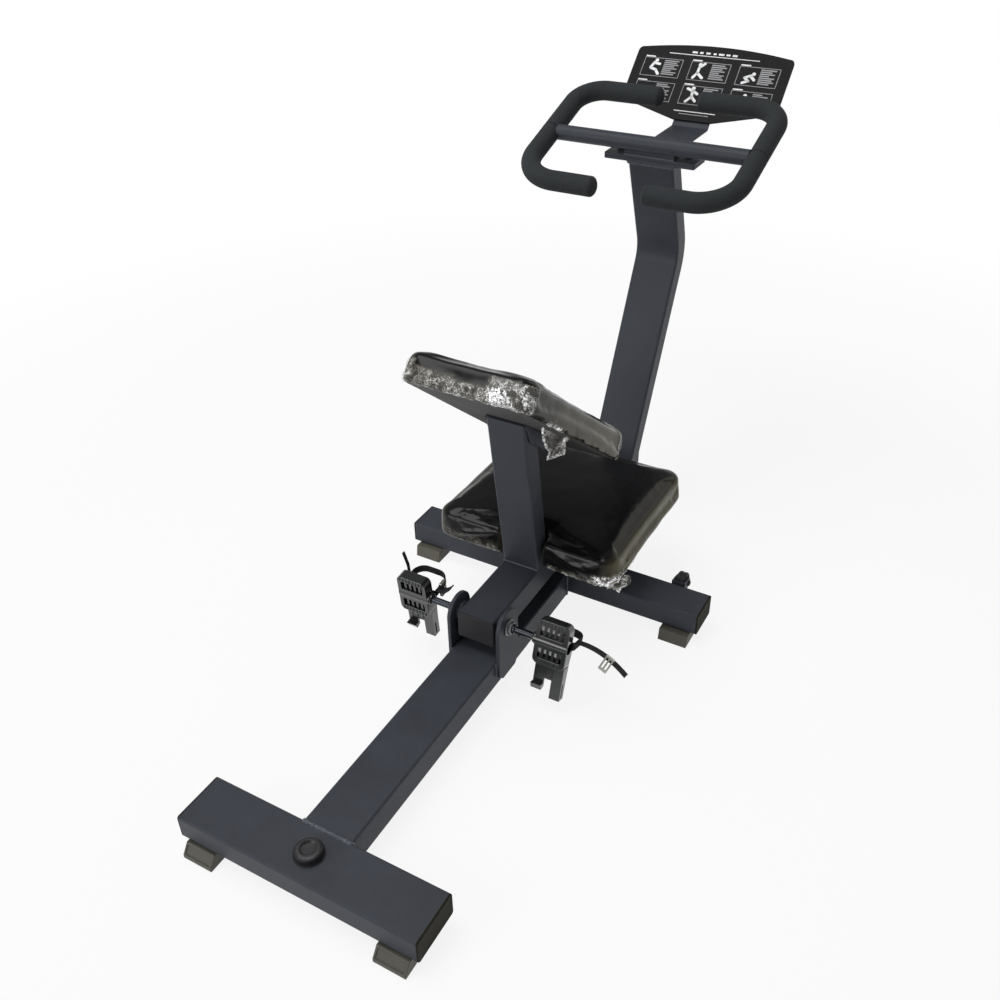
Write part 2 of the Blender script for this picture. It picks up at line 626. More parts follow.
class Shape:
    """Closed shells gathered into one mesh."""

    def __init__(self, matrix=None):
        self.mesh = bmesh.new()
        self.matrix = matrix or Matrix.Identity(4)

    def _ring(self, places):
        return [self.mesh.verts.new(self.matrix @ Vector(place)) for place in places]

    def _between(self, first, second):
        count = len(first)
        for index in range(count):
            after = (index + 1) % count
            self.mesh.faces.new((first[index], first[after], second[after], second[index]))

    def loft(self, rings, loop=False):
        """Rings of equal count joined in order, closed by a face at each end or into a loop."""
        made = [self._ring(ring) for ring in rings]
        for first, second in zip(made, made[1:] + (made[:1] if loop else [])):
            self._between(first, second)
        if not loop:
            self.mesh.faces.new(made[0])
            self.mesh.faces.new(made[-1])
        return self

    def tube(self, path, outer, inner, across, start=None, end=None):
        """A hollow section carried along a path, with a flat rim at each end."""
        outside = stations(path, outer, across, None, start, end)
        inside = stations(path, inner, across, None, start, end)
        return self.loft(outside + inside[::-1], loop=True)

    def turned(self, profile, steps=48, axis=ALONG_X, centre=(0, 0, 0), round_trip=False):
        """A profile of (radius, distance) turned about an axis; radius zero makes a pole."""
        axis = Vector(axis)
        first = axis.orthogonal().normalized()
        second = axis.cross(first)
        centre = Vector(centre)
        rings = []
        for radius, along in profile:
            middle = centre + axis * along
            if radius < 1e-7:
                rings.append(self._ring([middle]))
                continue
            turns = [2 * math.pi * step / steps for step in range(steps)]
            rings.append(self._ring([
                middle + first * (radius * math.cos(turn)) + second * (radius * math.sin(turn))
                for turn in turns]))
        pairs = list(zip(rings, rings[1:]))
        if round_trip:
            pairs.append((rings[-1], rings[0]))
        for lower, upper in pairs:
            if len(lower) == 1 and len(upper) == 1:
                continue
            if len(lower) == 1 or len(upper) == 1:
                pole, rim = (lower[0], upper) if len(lower) == 1 else (upper[0], lower)
                for index in range(steps):
                    self.mesh.faces.new((pole, rim[index], rim[(index + 1) % steps]))
                continue
            self._between(lower, upper)
        if not round_trip:
            for ring in (rings[0], rings[-1]):
                if len(ring) > 1:
                    self.mesh.faces.new(ring)
        return self

    def plate(self, outer, holes, low, high, axes=FLAT, origin=(0, 0, 0), bevel=0.0, segments=2):
        """A flat plate with holes, its outline in the plane of two axes, from low to high along the third."""
        first, second, third = (Vector(axis) for axis in axes)
        origin = Vector(origin)
        own = bmesh.new()
        edges = []
        for loop in [outer, *holes]:
            ring = [own.verts.new(origin + first * x + second * y + third * low) for x, y in loop]
            edges += [own.edges.new((ring[index], ring[(index + 1) % len(ring)]))
                      for index in range(len(ring))]
        bmesh.ops.triangle_fill(own, use_beauty=True, use_dissolve=False, edges=edges)
        grown = bmesh.ops.extrude_face_region(own, geom=own.faces[:])
        for vert in (item for item in grown["geom"] if isinstance(item, bmesh.types.BMVert)):
            vert.co += third * (high - low)
        bmesh.ops.recalc_face_normals(own, faces=own.faces[:])
        bmesh.ops.dissolve_limit(own, angle_limit=0.01, verts=own.verts[:], edges=own.edges[:])
        round_edges(own, bevel, segments, math.radians(50))
        self._take(own)
        return self

    def block(self, size, centre, bevel=0.0006, turn=None, segments=2):
        """A block with rounded edges."""
        own = bmesh.new()
        turned_to = Matrix.Translation(Vector(centre)) @ (turn or Matrix.Identity(4))
        place = turned_to @ Matrix.Diagonal((*size, 1))
        bmesh.ops.create_cube(own, size=1, matrix=place)
        round_edges(own, bevel, segments, math.radians(50))
        self._take(own)
        return self

    def _take(self, own):
        """The shells of another mesh, moved by this shape's place."""
        own.verts.index_update()
        made = [self.mesh.verts.new(self.matrix @ vert.co) for vert in own.verts]
        for face in own.faces:
            self.mesh.faces.new([made[vert.index] for vert in face.verts])
        own.free()

    def added(self, name, material, body, slot):
        """A finished piece that stands for no frame node."""
        settle(kept(self.mesh, name), material, body)

    def standing_for(self, node, material, body, slot, smooth=40.0):
        """The finished piece that stands for one frame node, on its body."""
        settle(kept(self.mesh, node + "_finish"), material, body, (node,), smooth)


def round_edges(own, width, segments, limit):
    """Rounds every edge of a mesh that turns by more than limit."""
    if width <= 0:
        return
    sharp = [edge for edge in own.edges if len(edge.link_faces) == 2 and edge.calc_face_angle(0) > limit]
    bmesh.ops.bevel(own, geom=sharp, offset=width, segments=segments, profile=0.5, affect="EDGES",
                    clamp_overlap=True)


def settle(made, material, body, replaces=(), smooth=40.0):
    """Gives a piece its finish, its shading, its body and the nodes that it stands for."""
    made.data.materials.clear()
    made.data.materials.append(FINISHES[material])
    made.data.shade_smooth()
    made.data.set_sharp_from_angle(angle=math.radians(smooth))
    if smooth < 90:
        weigh = made.modifiers.new("Weigh", "WEIGHTED_NORMAL")
        weigh.keep_sharp, weigh.weight = True, 80
        bake_modifiers(made)
    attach(made, body)
    if replaces:
        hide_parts(*replaces)


def dressed(node, material, body, bevel):
    """A copy of a frame node with its flat faces made whole and its edges rounded."""
    own = bmesh.new()
    own.from_mesh(frame["nodes"][node].data)
    bmesh.ops.remove_doubles(own, verts=own.verts[:], dist=1e-5)
    bmesh.ops.recalc_face_normals(own, faces=own.faces[:])
    bmesh.ops.dissolve_limit(own, angle_limit=math.radians(0.6), verts=own.verts[:], edges=own.edges[:])
    round_edges(own, bevel, 2, math.radians(35))
    settle(kept(own, node + "_finish"), material, body, (node,))


def painted(node, material):
    """A frame node whose shape is right as it is."""
    node = frame["nodes"][node]
    node.data.materials.clear()
    node.data.materials.append(FINISHES[material])


# Base frame
def box_tube(node, path, width, height, wall, across, body, start=None, end=None):
    """A box tube of the frame, with round corners, along a path."""
    corner = sizes().tube_corner
    outer = rounded_ring(width, height, corner)
    inner = rounded_ring(width - 2 * wall, height - 2 * wall, max(corner - wall, wall / 2))
    Shape().tube(path, outer, inner, across, start, end).standing_for(node, "Powder coat", body, "frame", 50)


def straight_tube(node, along, body):
    """The finished tube for a straight box tube of the frame that lies along X or Y."""
    low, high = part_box(node)
    middle, size = span(node)
    if along == "X":
        path = [Vector((low.x, middle.y, middle.z)), Vector((high.x, middle.y, middle.z))]
        box_tube(node, path, size.z, size.y, WALL, ALONG_Z, body)
    else:
        path = [Vector((middle.x, low.y, middle.z)), Vector((middle.x, high.y, middle.z))]
        box_tube(node, path, size.x, size.z, WALL, ALONG_X, body)


def end_cap(node, outward, body, material):
    """A moulded cap: a flange with a shallow panel in its face, and its plug."""
    middle, size = span(node)
    axis = Vector(outward)
    side = axis.cross(ALONG_Z)
    width = size.y if abs(axis.x) > 0.5 else size.x
    depth, flange = abs(size.dot(axis)), 0.003
    face = middle + axis * (depth / 2)
    room = 2 * (WALL + 0.0004)
    plug = [(room - 0.0008, 0.003, -depth), (room, 0.003, -flange)]
    front = [(0.0, 0.005, -flange), (0.0, 0.005, -0.0009), (0.0018, 0.0046, 0.0), (0.0170, 0.003, 0.0),
             (0.0192, 0.0026, -0.0004), (0.0340, 0.0022, -0.0003)]
    rings = [[face + side * x + ALONG_Z * y + axis * along
              for x, y in rounded_ring(width - inset, size.z - inset, radius, 5)]
             for inset, radius, along in plug + front]
    Shape().loft(rings).standing_for(node, material, body, "plastic", 35)


def build_base():
    """Crossbars, main beam, caps, feet and the round plug."""
    for node in ("rear_crossbar", "front_crossbar"):
        straight_tube(node, "X", "base")
    straight_tube("main_beam", "Y", "base")
    for end in ("rear", "front"):
        for side, sign in SIDES:
            end_cap(f"{end}_crossbar_{side}_cap", (sign, 0, 0), "base", "Bar cap plastic")
            wedge_foot(f"{end}_{side}_foot", -1 if end == "rear" else 1)
    low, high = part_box("crossbar_plug")
    centre = Vector(((low.x + high.x) / 2, (low.y + high.y) / 2, low.z))
    tall, radius = high.z - low.z, (high.x - low.x) / 2
    profile = [(0, 0), (radius, 0), (radius, tall - 0.0045), (radius - 0.0012, tall - 0.0018),
               (radius - 0.004, tall - 0.0002), (radius - 0.007, tall), (0.0145, tall),
               (0.0132, tall - 0.0012), (0.0112, tall - 0.0028), (0, tall - 0.0030)]
    Shape().turned(profile, 64, ALONG_Z, centre).standing_for(
        "crossbar_plug", "Plug rubber", "base", "rubber", 35)
    rim = [centre + Vector((x, y, 0.0012)) for x, y in circle(radius + 0.0006, 72)]
    row("crossbar_plug_rim", [(rim, True)], "bead", "base", "rubber", "Rubber", Step=0.003, Length=0.004,
        Width=0.0022, Height=0.0022, Jitter=0.05, Core_radius=0.0009)


def wedge_foot(node, outward):
    """A moulded foot: a sloped outer face with a shallow sunk panel in it."""
    low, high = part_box(node)
    long, tall = high.y - low.y, high.z
    outer = low.y if outward < 0 else high.y
    toe, slant, heel = 0.008, 0.014, 0.004
    outline = [(0, 0), (0, toe), (slant, tall), (long - heel, tall), (long, 0)]
    own = Shape().plate([(outer - outward * y, z) for y, z in outline], [], low.x, high.x,
                        (ALONG_Y, ALONG_Z, ALONG_X), (0, 0, 0), 0.0014, 3)
    bmesh.ops.recalc_face_normals(own.mesh, faces=own.mesh.faces[:])
    slope = Vector((0, outward * (tall - toe), slant)).normalized()
    panel = max((face for face in own.mesh.faces if face.normal.dot(slope) > 0.999),
                key=lambda face: face.calc_area())
    for inset, depth in ((0.0034, 0.0), (0.0010, -0.0018), (0.0006, -0.0003)):
        bmesh.ops.inset_individual(own.mesh, faces=[panel], thickness=inset, depth=depth)
    own.standing_for(node, "Foot rubber", "base", "rubber", 50)


def weld(name, lines, body, seed, **ripple):
    row(name, lines, "bead", body, "frame", "Weld under coat", Seed=seed, **ripple)


def level_run(low, high, y, z):
    """A straight run of weld across the machine, from low to high along X."""
    return [Vector((low, y, z)), Vector((high, y, z))], False


def build_welds():
    """Weld ripples along the joints of the frame."""
    width, step = sizes().weld_bead, sizes().weld_step
    bead = dict(Step=step, Length=width * 0.62, Width=width, Height=width * 0.8, Jitter=0.12,
                Core_radius=width * 0.34)
    low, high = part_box("main_beam")
    lines, grooves = [], []
    for y, out in ((low.y, -1), (high.y, 1)):
        for x, hand in ((low.x, -1), (high.x, 1)):
            upright = Vector((x + hand * 0.0004, y - out * 0.0005, 0))
            lines.append(([upright + ALONG_Z * (low.z + 0.004), upright + ALONG_Z * (high.z - 0.002)], False))
        grooves.append(level_run(low.x + 0.002, high.x - 0.002, y + out * 0.0022, high.z - 0.0012))
    weld("beam_welds", lines, "base", 5, **bead)
    weld("beam_top_welds", grooves, "base", 6,
         **dict(bead, Length=width * 0.8, Width=width * 1.75, Height=width * 0.95, Jitter=0.3))
    lines = []
    for side, sign in SIDES:
        ear_low, ear_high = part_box(f"{side}_pivot_ear")
        outer = (high.x if sign > 0 else low.x) + sign * 0.0006
        for y in (ear_low.y - 0.0004, ear_high.y + 0.0004):
            lines.append(([Vector((outer, y, ear_low.z + 0.016)), Vector((outer, y, high.z - 0.003))], False))
    weld("ear_welds", lines, "base", 7, **bead)
    rocker_low, rocker_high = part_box("rocker_tube")
    top = rocker_high.z + 0.0012
    lines = []
    for node in ("seat_post", "mast"):
        low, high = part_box(node)
        lines += [level_run(low.x + 0.002, high.x - 0.002, y, top) for y in foot_span(node)]
    for node in ("shin_rear_bracket", "shin_front_bracket"):
        low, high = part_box(node)
        lines += [level_run(rocker_low.x + 0.006, rocker_high.x - 0.006, y, top) for y in (low.y, high.y)]
    weld("rocker_welds", lines, "rocker", 11, **bead)
    low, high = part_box("mast_top_plate")
    head = mast_path()[-1]
    deep, slope = 0.0225 / math.cos(MAST_BACK), math.tan(MAST_BACK)
    runs = []
    for drop, out in ((0.0016, 0.0045), (0.0062, 0.0022)):
        runs.append(([Vector((x, head.y + y + slope * drop, low.z - drop)) for x, y in
                      rounded_ring(0.1 + out, 2 * deep + out, 0.005, 3)], True))
    weld("mast_head_weld", runs, "rocker", 13,
         **dict(bead, Length=width * 0.8, Width=width * 1.3, Height=width * 1.1, Jitter=0.2))
    lines = [level_run(-0.054, 0.054, PIVOT.y + y, high.z + 0.0072) for y in (0.718, 0.744)]
    weld("saddle_weld", lines, "rocker", 17, **bead)


def foot_span(node):
    """The rear and front edges of a tube's foot, where it stands on the rocker."""
    places = [vert.co for vert in frame["nodes"][node].data.vertices]
    bottom = min(place.z for place in places)
    low = [place.y for place in places if place.z < bottom + 0.001]
    return min(low), max(low)


# Pivot, wheels and their hardware
def build_pivot():
    """Ears, axle, nuts, stop bar, rest and pedal spindles."""
    for side, sign in SIDES:
        pivot_ear(side, sign)
        axle_nut(side, sign)
        spindle(side, sign)
    low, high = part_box("pivot_axle")
    half, radius, bore = high.x, (high.z - low.z) / 2, 0.007
    end = 0.0009
    profile = mirrored([(bore - 0.0004, half - 0.006), (bore, half - 0.0004), (bore + end * 0.6, half),
                        (radius - end, half), (radius, half - end)])
    Shape().turned(profile, 48, ALONG_X, PIVOT, round_trip=True).standing_for(
        "pivot_axle", "Black steel", "base", "black_steel")
    middle, size = span("tilt_stop_bar")
    low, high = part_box("tilt_stop_bar")
    radius, end = size.z / 2, 0.001
    profile = [(0, low.x), (radius - end, low.x), (radius, low.x + end), (radius, high.x - end),
               (radius - end, high.x), (0, high.x)]
    Shape().turned(profile, 40, ALONG_X, (0, middle.y, middle.z)).standing_for(
        "tilt_stop_bar", "Black steel", "base", "black_steel")
    middle, size = span("rest_bumper")
    wide, tall = size.x / 2, size.z
    profile = [(0, 0), (wide - 0.001, 0), (wide, 0.001), (wide, 0.004), (wide - 0.0015, 0.006),
               (wide - 0.003, tall - 0.002), (wide - 0.0045, tall), (0.006, tall), (0.005, tall - 0.003),
               (0, tall - 0.003)]
    Shape().turned(profile, 48, ALONG_Z, (middle.x, middle.y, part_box("rest_bumper")[0].z)).standing_for(
        "rest_bumper", "Rubber", "base", "rubber", 35)


def pivot_ear(side, sign):
    """A plate with a round head, welded to the beam, and its spacer boss."""
    low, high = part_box(f"{side}_pivot_ear")
    outer = max(abs(low.x), abs(high.x))
    inner = outer - 0.008
    radius = (high.y - low.y) / 2
    bottom, chamfer = low.z - PIVOT.z, 0.014
    outline = circle(radius, 80)[:41]
    outline += [(-radius, bottom + chamfer), (chamfer - radius, bottom), (radius - chamfer, bottom),
                (radius, bottom + chamfer)]
    made = Shape()
    made.plate(outline, [], inner, outer, (ALONG_Y, ALONG_Z, ALONG_X * sign), PIVOT, 0.0014, 3)
    reach = min(abs(low.x), abs(high.x))
    made.turned([(0.0105, reach), (0.019, reach), (0.020, reach + 0.001), (0.020, inner + 0.002),
                 (0.0105, inner + 0.002)], 48, ALONG_X * sign, PIVOT, round_trip=True)
    made.standing_for(f"{side}_pivot_ear", "Powder coat", "base", "frame")


def axle_nut(side, sign):
    """A washer face, six flats and a domed shoulder on the axle's end."""
    low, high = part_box(f"{side}_axle_nut")
    start = min(abs(low.x), abs(high.x))
    tall = abs(high.x - low.x)
    wide, bore = (high.z - low.z) / 2, 0.0103
    axis = ALONG_X * sign
    made = Shape()
    made.turned([(bore, start), (wide - 0.0008, start), (wide, start + 0.0008), (wide, start + 0.0022),
                 (wide - 0.001, start + 0.003), (0.0145, start + 0.0036), (bore, start + 0.0036)],
                64, axis, PIVOT, round_trip=True)
    made.turned([(bore, start + 0.003), (0.0142, start + 0.003), (0.0142, start + 0.0072),
                 (0.0128, start + 0.0086), (bore, start + 0.0086)], 6, axis, PIVOT, round_trip=True)
    made.turned([(bore, start + 0.0072), (0.0126, start + 0.0072), (0.0124, start + 0.0086),
                 (0.0116, start + tall - 0.0004), (bore, start + tall)], 48, axis, PIVOT, round_trip=True)
    made.standing_for(f"{side}_axle_nut", "Worn steel", "base", "black_steel", 30)


def spindle(side, sign):
    """Pedal spindle with its wrench flange and polished shank."""
    low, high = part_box(f"{side}_pedal_spindle")
    start, tip = sorted((abs(low.x), abs(high.x)))
    flange, shank = start + 0.0219, 0.155
    axis = ALONG_X * sign
    made = Shape()
    made.turned([(0, start), (0.0062, start), (0.0067, start + 0.0005), (0.0067, flange), (0.0092, flange),
                 (0.0100, flange + 0.0008), (0.0100, flange + 0.0042), (0.0092, flange + 0.005),
                 (0.0078, flange + 0.0052), (0.0070, flange + 0.0062), (0.0070, shank),
                 (0.0066, shank + 0.002), (0.0050, shank + 0.007), (0.0050, tip - 0.0006), (0.0044, tip),
                 (0, tip)], 48, axis, PIVOT)
    made.standing_for(f"{side}_pedal_spindle", "Dark steel", "base", "steel")
    ring = Shape().turned([(0.0072, flange - 0.0046), (0.0110, flange - 0.0046), (0.0118, flange - 0.0038),
                           (0.0118, flange - 0.0026), (0.0110, flange - 0.0018), (0.0072, flange - 0.0018)],
                          48, axis, PIVOT, round_trip=True)
    ring.added(f"{side}_spindle_washer", "Bright steel", "base", "steel")


def build_wheels():
    """Transport wheels in their brackets."""
    for side, sign in SIDES:
        centre = WHEEL_PLACE[side]
        low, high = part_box(f"{side}_wheel_bracket")
        radius = span(f"{side}_transport_wheel")[1].z / 2
        inner, outer, nose = 0.0115, 0.0145, 0.011
        rear, tall = low.y - centre.y, (high.z - low.z) / 2
        turns = [math.pi * step / 20 for step in range(1, 20)]
        cheek = [(rear, -tall), (0, -nose),
                 *((nose * math.sin(turn), -nose * math.cos(turn)) for turn in turns),
                 (0, nose), (rear, tall)]
        made = Shape()
        for hand in (-1, 1):
            made.plate(cheek, [], inner, outer, (ALONG_Y, ALONG_Z, ALONG_X * hand), centre, 0.0006)
            made.turned([(0, outer - 0.001), (0.0066, outer - 0.001), (0.0066, outer + 0.0012),
                         (0.0060, outer + 0.0026), (0.0042, outer + 0.0037), (0, outer + 0.0040)], 32,
                        ALONG_X * hand, centre)
        made.block((2 * outer, 0.003, 2 * tall), centre + Vector((0, rear + 0.0015, 0)), 0.0007)
        made.turned(mirrored([(0, -inner - 0.001), (0.004, -inner - 0.001)]), 24, ALONG_X, centre)
        made.standing_for(f"{side}_wheel_bracket", "Powder coat", "base", "frame")
        half, bore, hub = 0.010, 0.0044, 0.01075
        profile = mirrored([(bore, -hub), (0.0086, -hub), (0.009, -hub + 0.0005), (0.0092, -half + 0.0022),
                            (radius - 0.0066, -half + 0.0022), (radius - 0.006, -half + 0.0006),
                            (radius - 0.0050, -half), (radius - 0.0030, -half),
                            (radius - 0.0010, -half + 0.0014), (radius, -half + 0.0036), (radius, -0.0022),
                            (radius - 0.0012, -0.0016)])
        Shape().turned(profile, 64, ALONG_X, centre, round_trip=True).standing_for(
            f"{side}_transport_wheel", "Rubber", f"{side}_wheel", "rubber", 35)
        spots = [centre + Vector((0, y, z)) for y, z in circle(radius - 0.0085, 40)]
        lines = [([spot + Vector((hand * (half - 0.0021), 0, 0)) for spot in spots], True)
                 for hand in (-1, 1)]
        row(f"{side}_wheel_ribs", lines, "bar", f"{side}_wheel", "rubber", "Rubber", Step=0.0062,
            Length=0.0016, Width=0.006, Height=0.0016, Jitter=0.0, Facing=(1, 0, 0))


# Rocker, post, mast and brackets
def mast_path():
    """Centre line of the bent mast, in the row frame."""
    foot, bend_height = Vector((0.623, 0.0203)), 0.464
    along, back = (Vector((math.sin(turn), math.cos(turn))) for turn in (MAST_LEAN, -MAST_BACK))
    bend = foot + along * ((bend_height - foot.y) / math.cos(MAST_LEAN))
    head = bend + back * ((HEAD_HEIGHT - bend.y) / math.cos(MAST_BACK))
    spots = rounded_path([foot, bend, head], 0.09)
    return [PIVOT + Vector((0, spot.x, spot.y)) for spot in spots]


def build_rocker():
    """Rocker tube with its caps, seat post, mast, channel and the shin brackets."""
    straight_tube("rocker_tube", "Y", "rocker")
    end_cap("rocker_rear_cap", (0, -1, 0), "rocker", "Cap plastic")
    end_cap("rocker_front_cap", (0, 1, 0), "rocker", "Cap plastic")
    rise = Vector((0, -math.sin(POST_LEAN), math.cos(POST_LEAN)))
    foot = Vector((0, sum(foot_span("seat_post")) / 2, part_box("seat_post")[0].z))
    normal = Vector((0, math.sin(SEAT_TILT), math.cos(SEAT_TILT)))
    top = SEAT_FRAME @ Vector((0, 0, -SEAT_HEIGHT - GAP - CHANNEL_WALL - GAP))
    reach = (top - foot).dot(normal) / rise.dot(normal)
    box_tube("seat_post", [foot, foot + rise * reach], 0.08, 0.045, THIN_WALL, ALONG_X, "rocker",
             ALONG_Z, normal)
    box_tube("mast", mast_path(), 0.1, 0.045, THIN_WALL, ALONG_X, "rocker", ALONG_Z, ALONG_Z)
    seat_channel()
    for node in ("shin_rear_bracket", "shin_front_bracket"):
        dressed(node, "Powder coat", "rocker", 0.0009)


def seat_channel():
    """Folded channel between the post and the board, its two flanges shallower at their ends."""
    half, top = 0.0443, -SEAT_HEIGHT - GAP
    inner = half - CHANNEL_WALL
    rings = []
    for y, drop in ((0.208, 0.0070), (0.216, 0.0095), (0.242, 0.0260), (0.343, 0.0260), (0.353, 0.0190)):
        rings.append([Vector((x, y, top - low)) for x, low in (
            (-half, 0), (-half, drop), (-inner, drop), (-inner, CHANNEL_WALL), (inner, CHANNEL_WALL),
            (inner, drop), (half, drop), (half, 0))])
    made = Shape(SEAT_FRAME).loft(rings)
    bmesh.ops.recalc_face_normals(made.mesh, faces=made.mesh.faces[:])
    round_edges(made.mesh, 0.0012, 3, math.radians(35))
    made.standing_for("seat_channel", "Powder coat", "rocker", "frame")


# Upholstery
def pad_outline(form, inset, draw_in, corner_steps=10, edge_steps=14):
    """Tapered rectangle with round corners, its edges drawn in towards their middles."""
    rear, front, far, corner = form
    ends = [Vector((rear / 2 - inset, inset)), Vector((front / 2 - inset, far - inset)),
            Vector((inset - front / 2, far - inset)), Vector((inset - rear / 2, inset))]
    radius = max(corner - inset, corner / 4)
    ring = []
    for index, here in enumerate(ends):
        after = ends[(index + 1) % 4]
        back, ahead = (ends[index - 1] - here).normalized(), (after - here).normalized()
        spots, reach = corner_arc(here, back, ahead, radius, corner_steps)
        ring += spots
        inward = Vector((-(after - here).y, (after - here).x)).normalized()
        begin, finish_at = ring[-1], after - ahead * reach
        for step in range(1, edge_steps):
            share = step / edge_steps
            ring.append(begin.lerp(finish_at, share) + inward * (draw_in * math.sin(math.pi * share)))
    return ring


def pad_form(form, height, crown, pocket):
    """The cover before it settles: a pocketed underside, drawn-in sides, a shoulder and a crown."""
    shoulder = 0.011
    side = height - shoulder
    levels = [(pocket[0] - 0.0003, pocket[1]), (pocket[0] - 0.0003, 0.0), (0.0050, 0.0), (0.0034, 0.0010),
              (0.0026, 0.0040), (0.0018, side * 0.25), (0.0010, side * 0.6), (0.0016, side)]
    for step in range(1, 7):
        angle = math.pi / 2 * step / 6
        levels.append((0.0016 + shoulder * (1 - math.cos(angle)), side + shoulder * math.sin(angle)))
    rings = []
    middle = Vector((0, form[2] / 2))
    base = pad_outline(form, levels[0][0], 0.0)
    for share in (0.25, 0.6, 0.85):
        rings.append([Vector((*(middle + (spot - middle) * share), pocket[1])) for spot in base])
    for inset, level in levels:
        draw = 0.0 if level <= pocket[1] and inset > 0.005 else 0.0025
        rings.append([Vector((*spot, level)) for spot in pad_outline(form, inset, draw)])
    rim = rings[-1]
    for share in (0.94, 0.85, 0.72, 0.55, 0.35, 0.15):
        level = height + crown * (1 - share ** 2)
        rings.append([Vector((*(middle + (spot.xy - middle) * share), level)) for spot in rim])
    return rings


CLOTH = {"quality": 4, "mass": 0.3, "use_pressure": True, "uniform_pressure_force": 4,
         "tension_stiffness": 22, "compression_stiffness": 22, "shear_stiffness": 10,
         "bending_stiffness": 0.6, "vertex_group_mass": "Held"}


def settled_cover(name, shape, pinned):
    """The cover swollen over its foam: a regular mesh, puffed by a short cloth run."""
    cover = kept(shape, name)
    even = cover.modifiers.new("Even", "REMESH")
    even.mode, even.voxel_size, even.adaptivity = "VOXEL", sizes().cloth_voxel, 0
    soften = cover.modifiers.new("Soften", "SMOOTH")
    soften.factor, soften.iterations = 0.5, 9
    bake_modifiers(cover)
    start = [vert.co.copy() for vert in cover.data.vertices]
    group = cover.vertex_groups.new(name="Held")
    group.add([vert.index for vert in cover.data.vertices if pinned(vert.co)], 1.0, "REPLACE")
    cloth = cover.modifiers.new("Cloth", "CLOTH")
    for name, value in CLOTH.items():
        setattr(cloth.settings, name, value)
    cloth.settings.effector_weights.gravity = 0
    cloth.collision_settings.use_collision = False
    for step in range(1, 21):
        bpy.context.scene.frame_set(step)
    bake_modifiers(cover)
    bpy.context.scene.frame_set(1)
    limit = sizes().pad_swell
    for vert, origin in zip(cover.data.vertices, start):
        move = vert.co - origin
        if move.length > limit:
            vert.co = origin + move * (limit / move.length)
    cover.vertex_groups.clear()
    return cover


def hazed(cover, place, form, hazes, fading):
    """Marks how much smooth film dulls each side of a pad, less towards its rear by fading."""
    back = place.inverted()
    turn, marks = back.to_3x3(), []
    for vert in cover.data.vertices:
        facing = turn @ vert.normal
        cloud = sum(share * max(0.0, part) ** 2
                    for share, part in zip(hazes, (facing.x, facing.y, -facing.x, -facing.y)))
        marks.append(cloud * (1 - fading * (1 - min(1.0, (back @ vert.co).y / form[2]))))
    cover.data.attributes.new("Haze", "FLOAT", "POINT").data.foreach_set("value", marks)


def upholstered(node, place, form, height, hazes, fading, notch=None):
    """One pad: its cover in its own axes, settled, creased and moved to its place."""
    shape = Shape().loft(pad_form(form, height, PAD_CROWN, (0.0117, 0.0123))).mesh
    if notch:
        shape = notched(shape, notch, height)
    cover = settled_cover(node + "_cover", shape, lambda spot: spot.z < 0.0035 or in_pocket(spot, form))
    crease(cover, form, height)
    finer = cover.modifiers.new("Finer", "SUBSURF")
    finer.levels = finer.render_levels = 1
    bake_modifiers(cover)
    cover.data.transform(place)
    cover.data.update()
    hazed(cover, place, form, hazes, fading)
    settle(cover, "Upholstery", "rocker", (node,), 180)


def in_pocket(spot, form):
    """Whether a point lies in the recess that the board sits in."""
    half = form[0] / 2 + (form[1] - form[0]) / 2 * spot.y / form[2]
    return spot.z < 0.016 and abs(spot.x) < half - 0.010 and 0.010 < spot.y < form[2] - 0.010


def notched(mesh, notch, height):
    """The pad's form with a square bite for the seat post out of its rear edge."""
    half, depth, corner = notch
    target = kept(mesh, "bite_target")
    reach, lean = 0.03, math.tan(POST_LEAN)
    ring = rounded_ring(2 * half, 2 * (depth + reach), corner, 6)
    tool = Shape().loft([[Vector((x, y - reach - lean * z, z)) for x, y in ring]
                         for z in (-0.02, height + 0.03)])
    cutter = kept(tool.mesh, "bite_cutter")
    bite = target.modifiers.new("Bite", "BOOLEAN")
    bite.operation, bite.object, bite.solver = "DIFFERENCE", cutter, "EXACT"
    bake_modifiers(target)
    result = bmesh.new()
    result.from_mesh(target.data)
    for used in (target, cutter):
        bpy.data.objects.remove(used)
    return result


def crease(cover, form, height):
    """Shallow gathers where the cover is pulled round its corners, and a slight unevenness."""
    rear, front, far, _ = form
    corners = [Vector((hand * (rear if y == 0 else front) / 2, y)) for hand in (-1, 1) for y in (0, far)]
    for vert in cover.data.vertices:
        spot = vert.co
        near = min((spot.xy - here).length for here in corners)
        pull = max(0.0, 1 - near / 0.075) * max(0.0, 1 - abs(spot.z - height * 0.3) / (height * 0.5))
        ripple = noise.noise(Vector((spot.x * 150, spot.y * 150, spot.z * 14)))
        gentle = noise.noise(spot * 22) * 0.0007 + noise.noise(spot * 55) * 0.0002
        vert.co += vert.normal * (pull * ripple * 0.0016 + gentle)


def build_seat():
    """Seat pad, its board and staples."""
    upholstered("seat_pad", UNDER_SEAT, SEAT_FORM, SEAT_HEIGHT, (0.9, 0.5, 0.6, 0.04), 0.95)
    dressed("seat_board", "Painted board", "rocker", 0.001)
    staples("seat_staples", UNDER_SEAT, SEAT_FORM)


def build_shin_pad():
    """Shin pad with its notch, its board and staples."""
    upholstered("shin_pad", SHIN_FRAME, SHIN_FORM, SHIN_HEIGHT, (0.9, 0.5, 0.6, 0.0), 0.0,
                (0.0455, 0.055, 0.008))
    dressed("shin_board", "Painted board", "rocker", 0.001)
    staples("shin_staples", SHIN_FRAME, SHIN_FORM, 0.075)


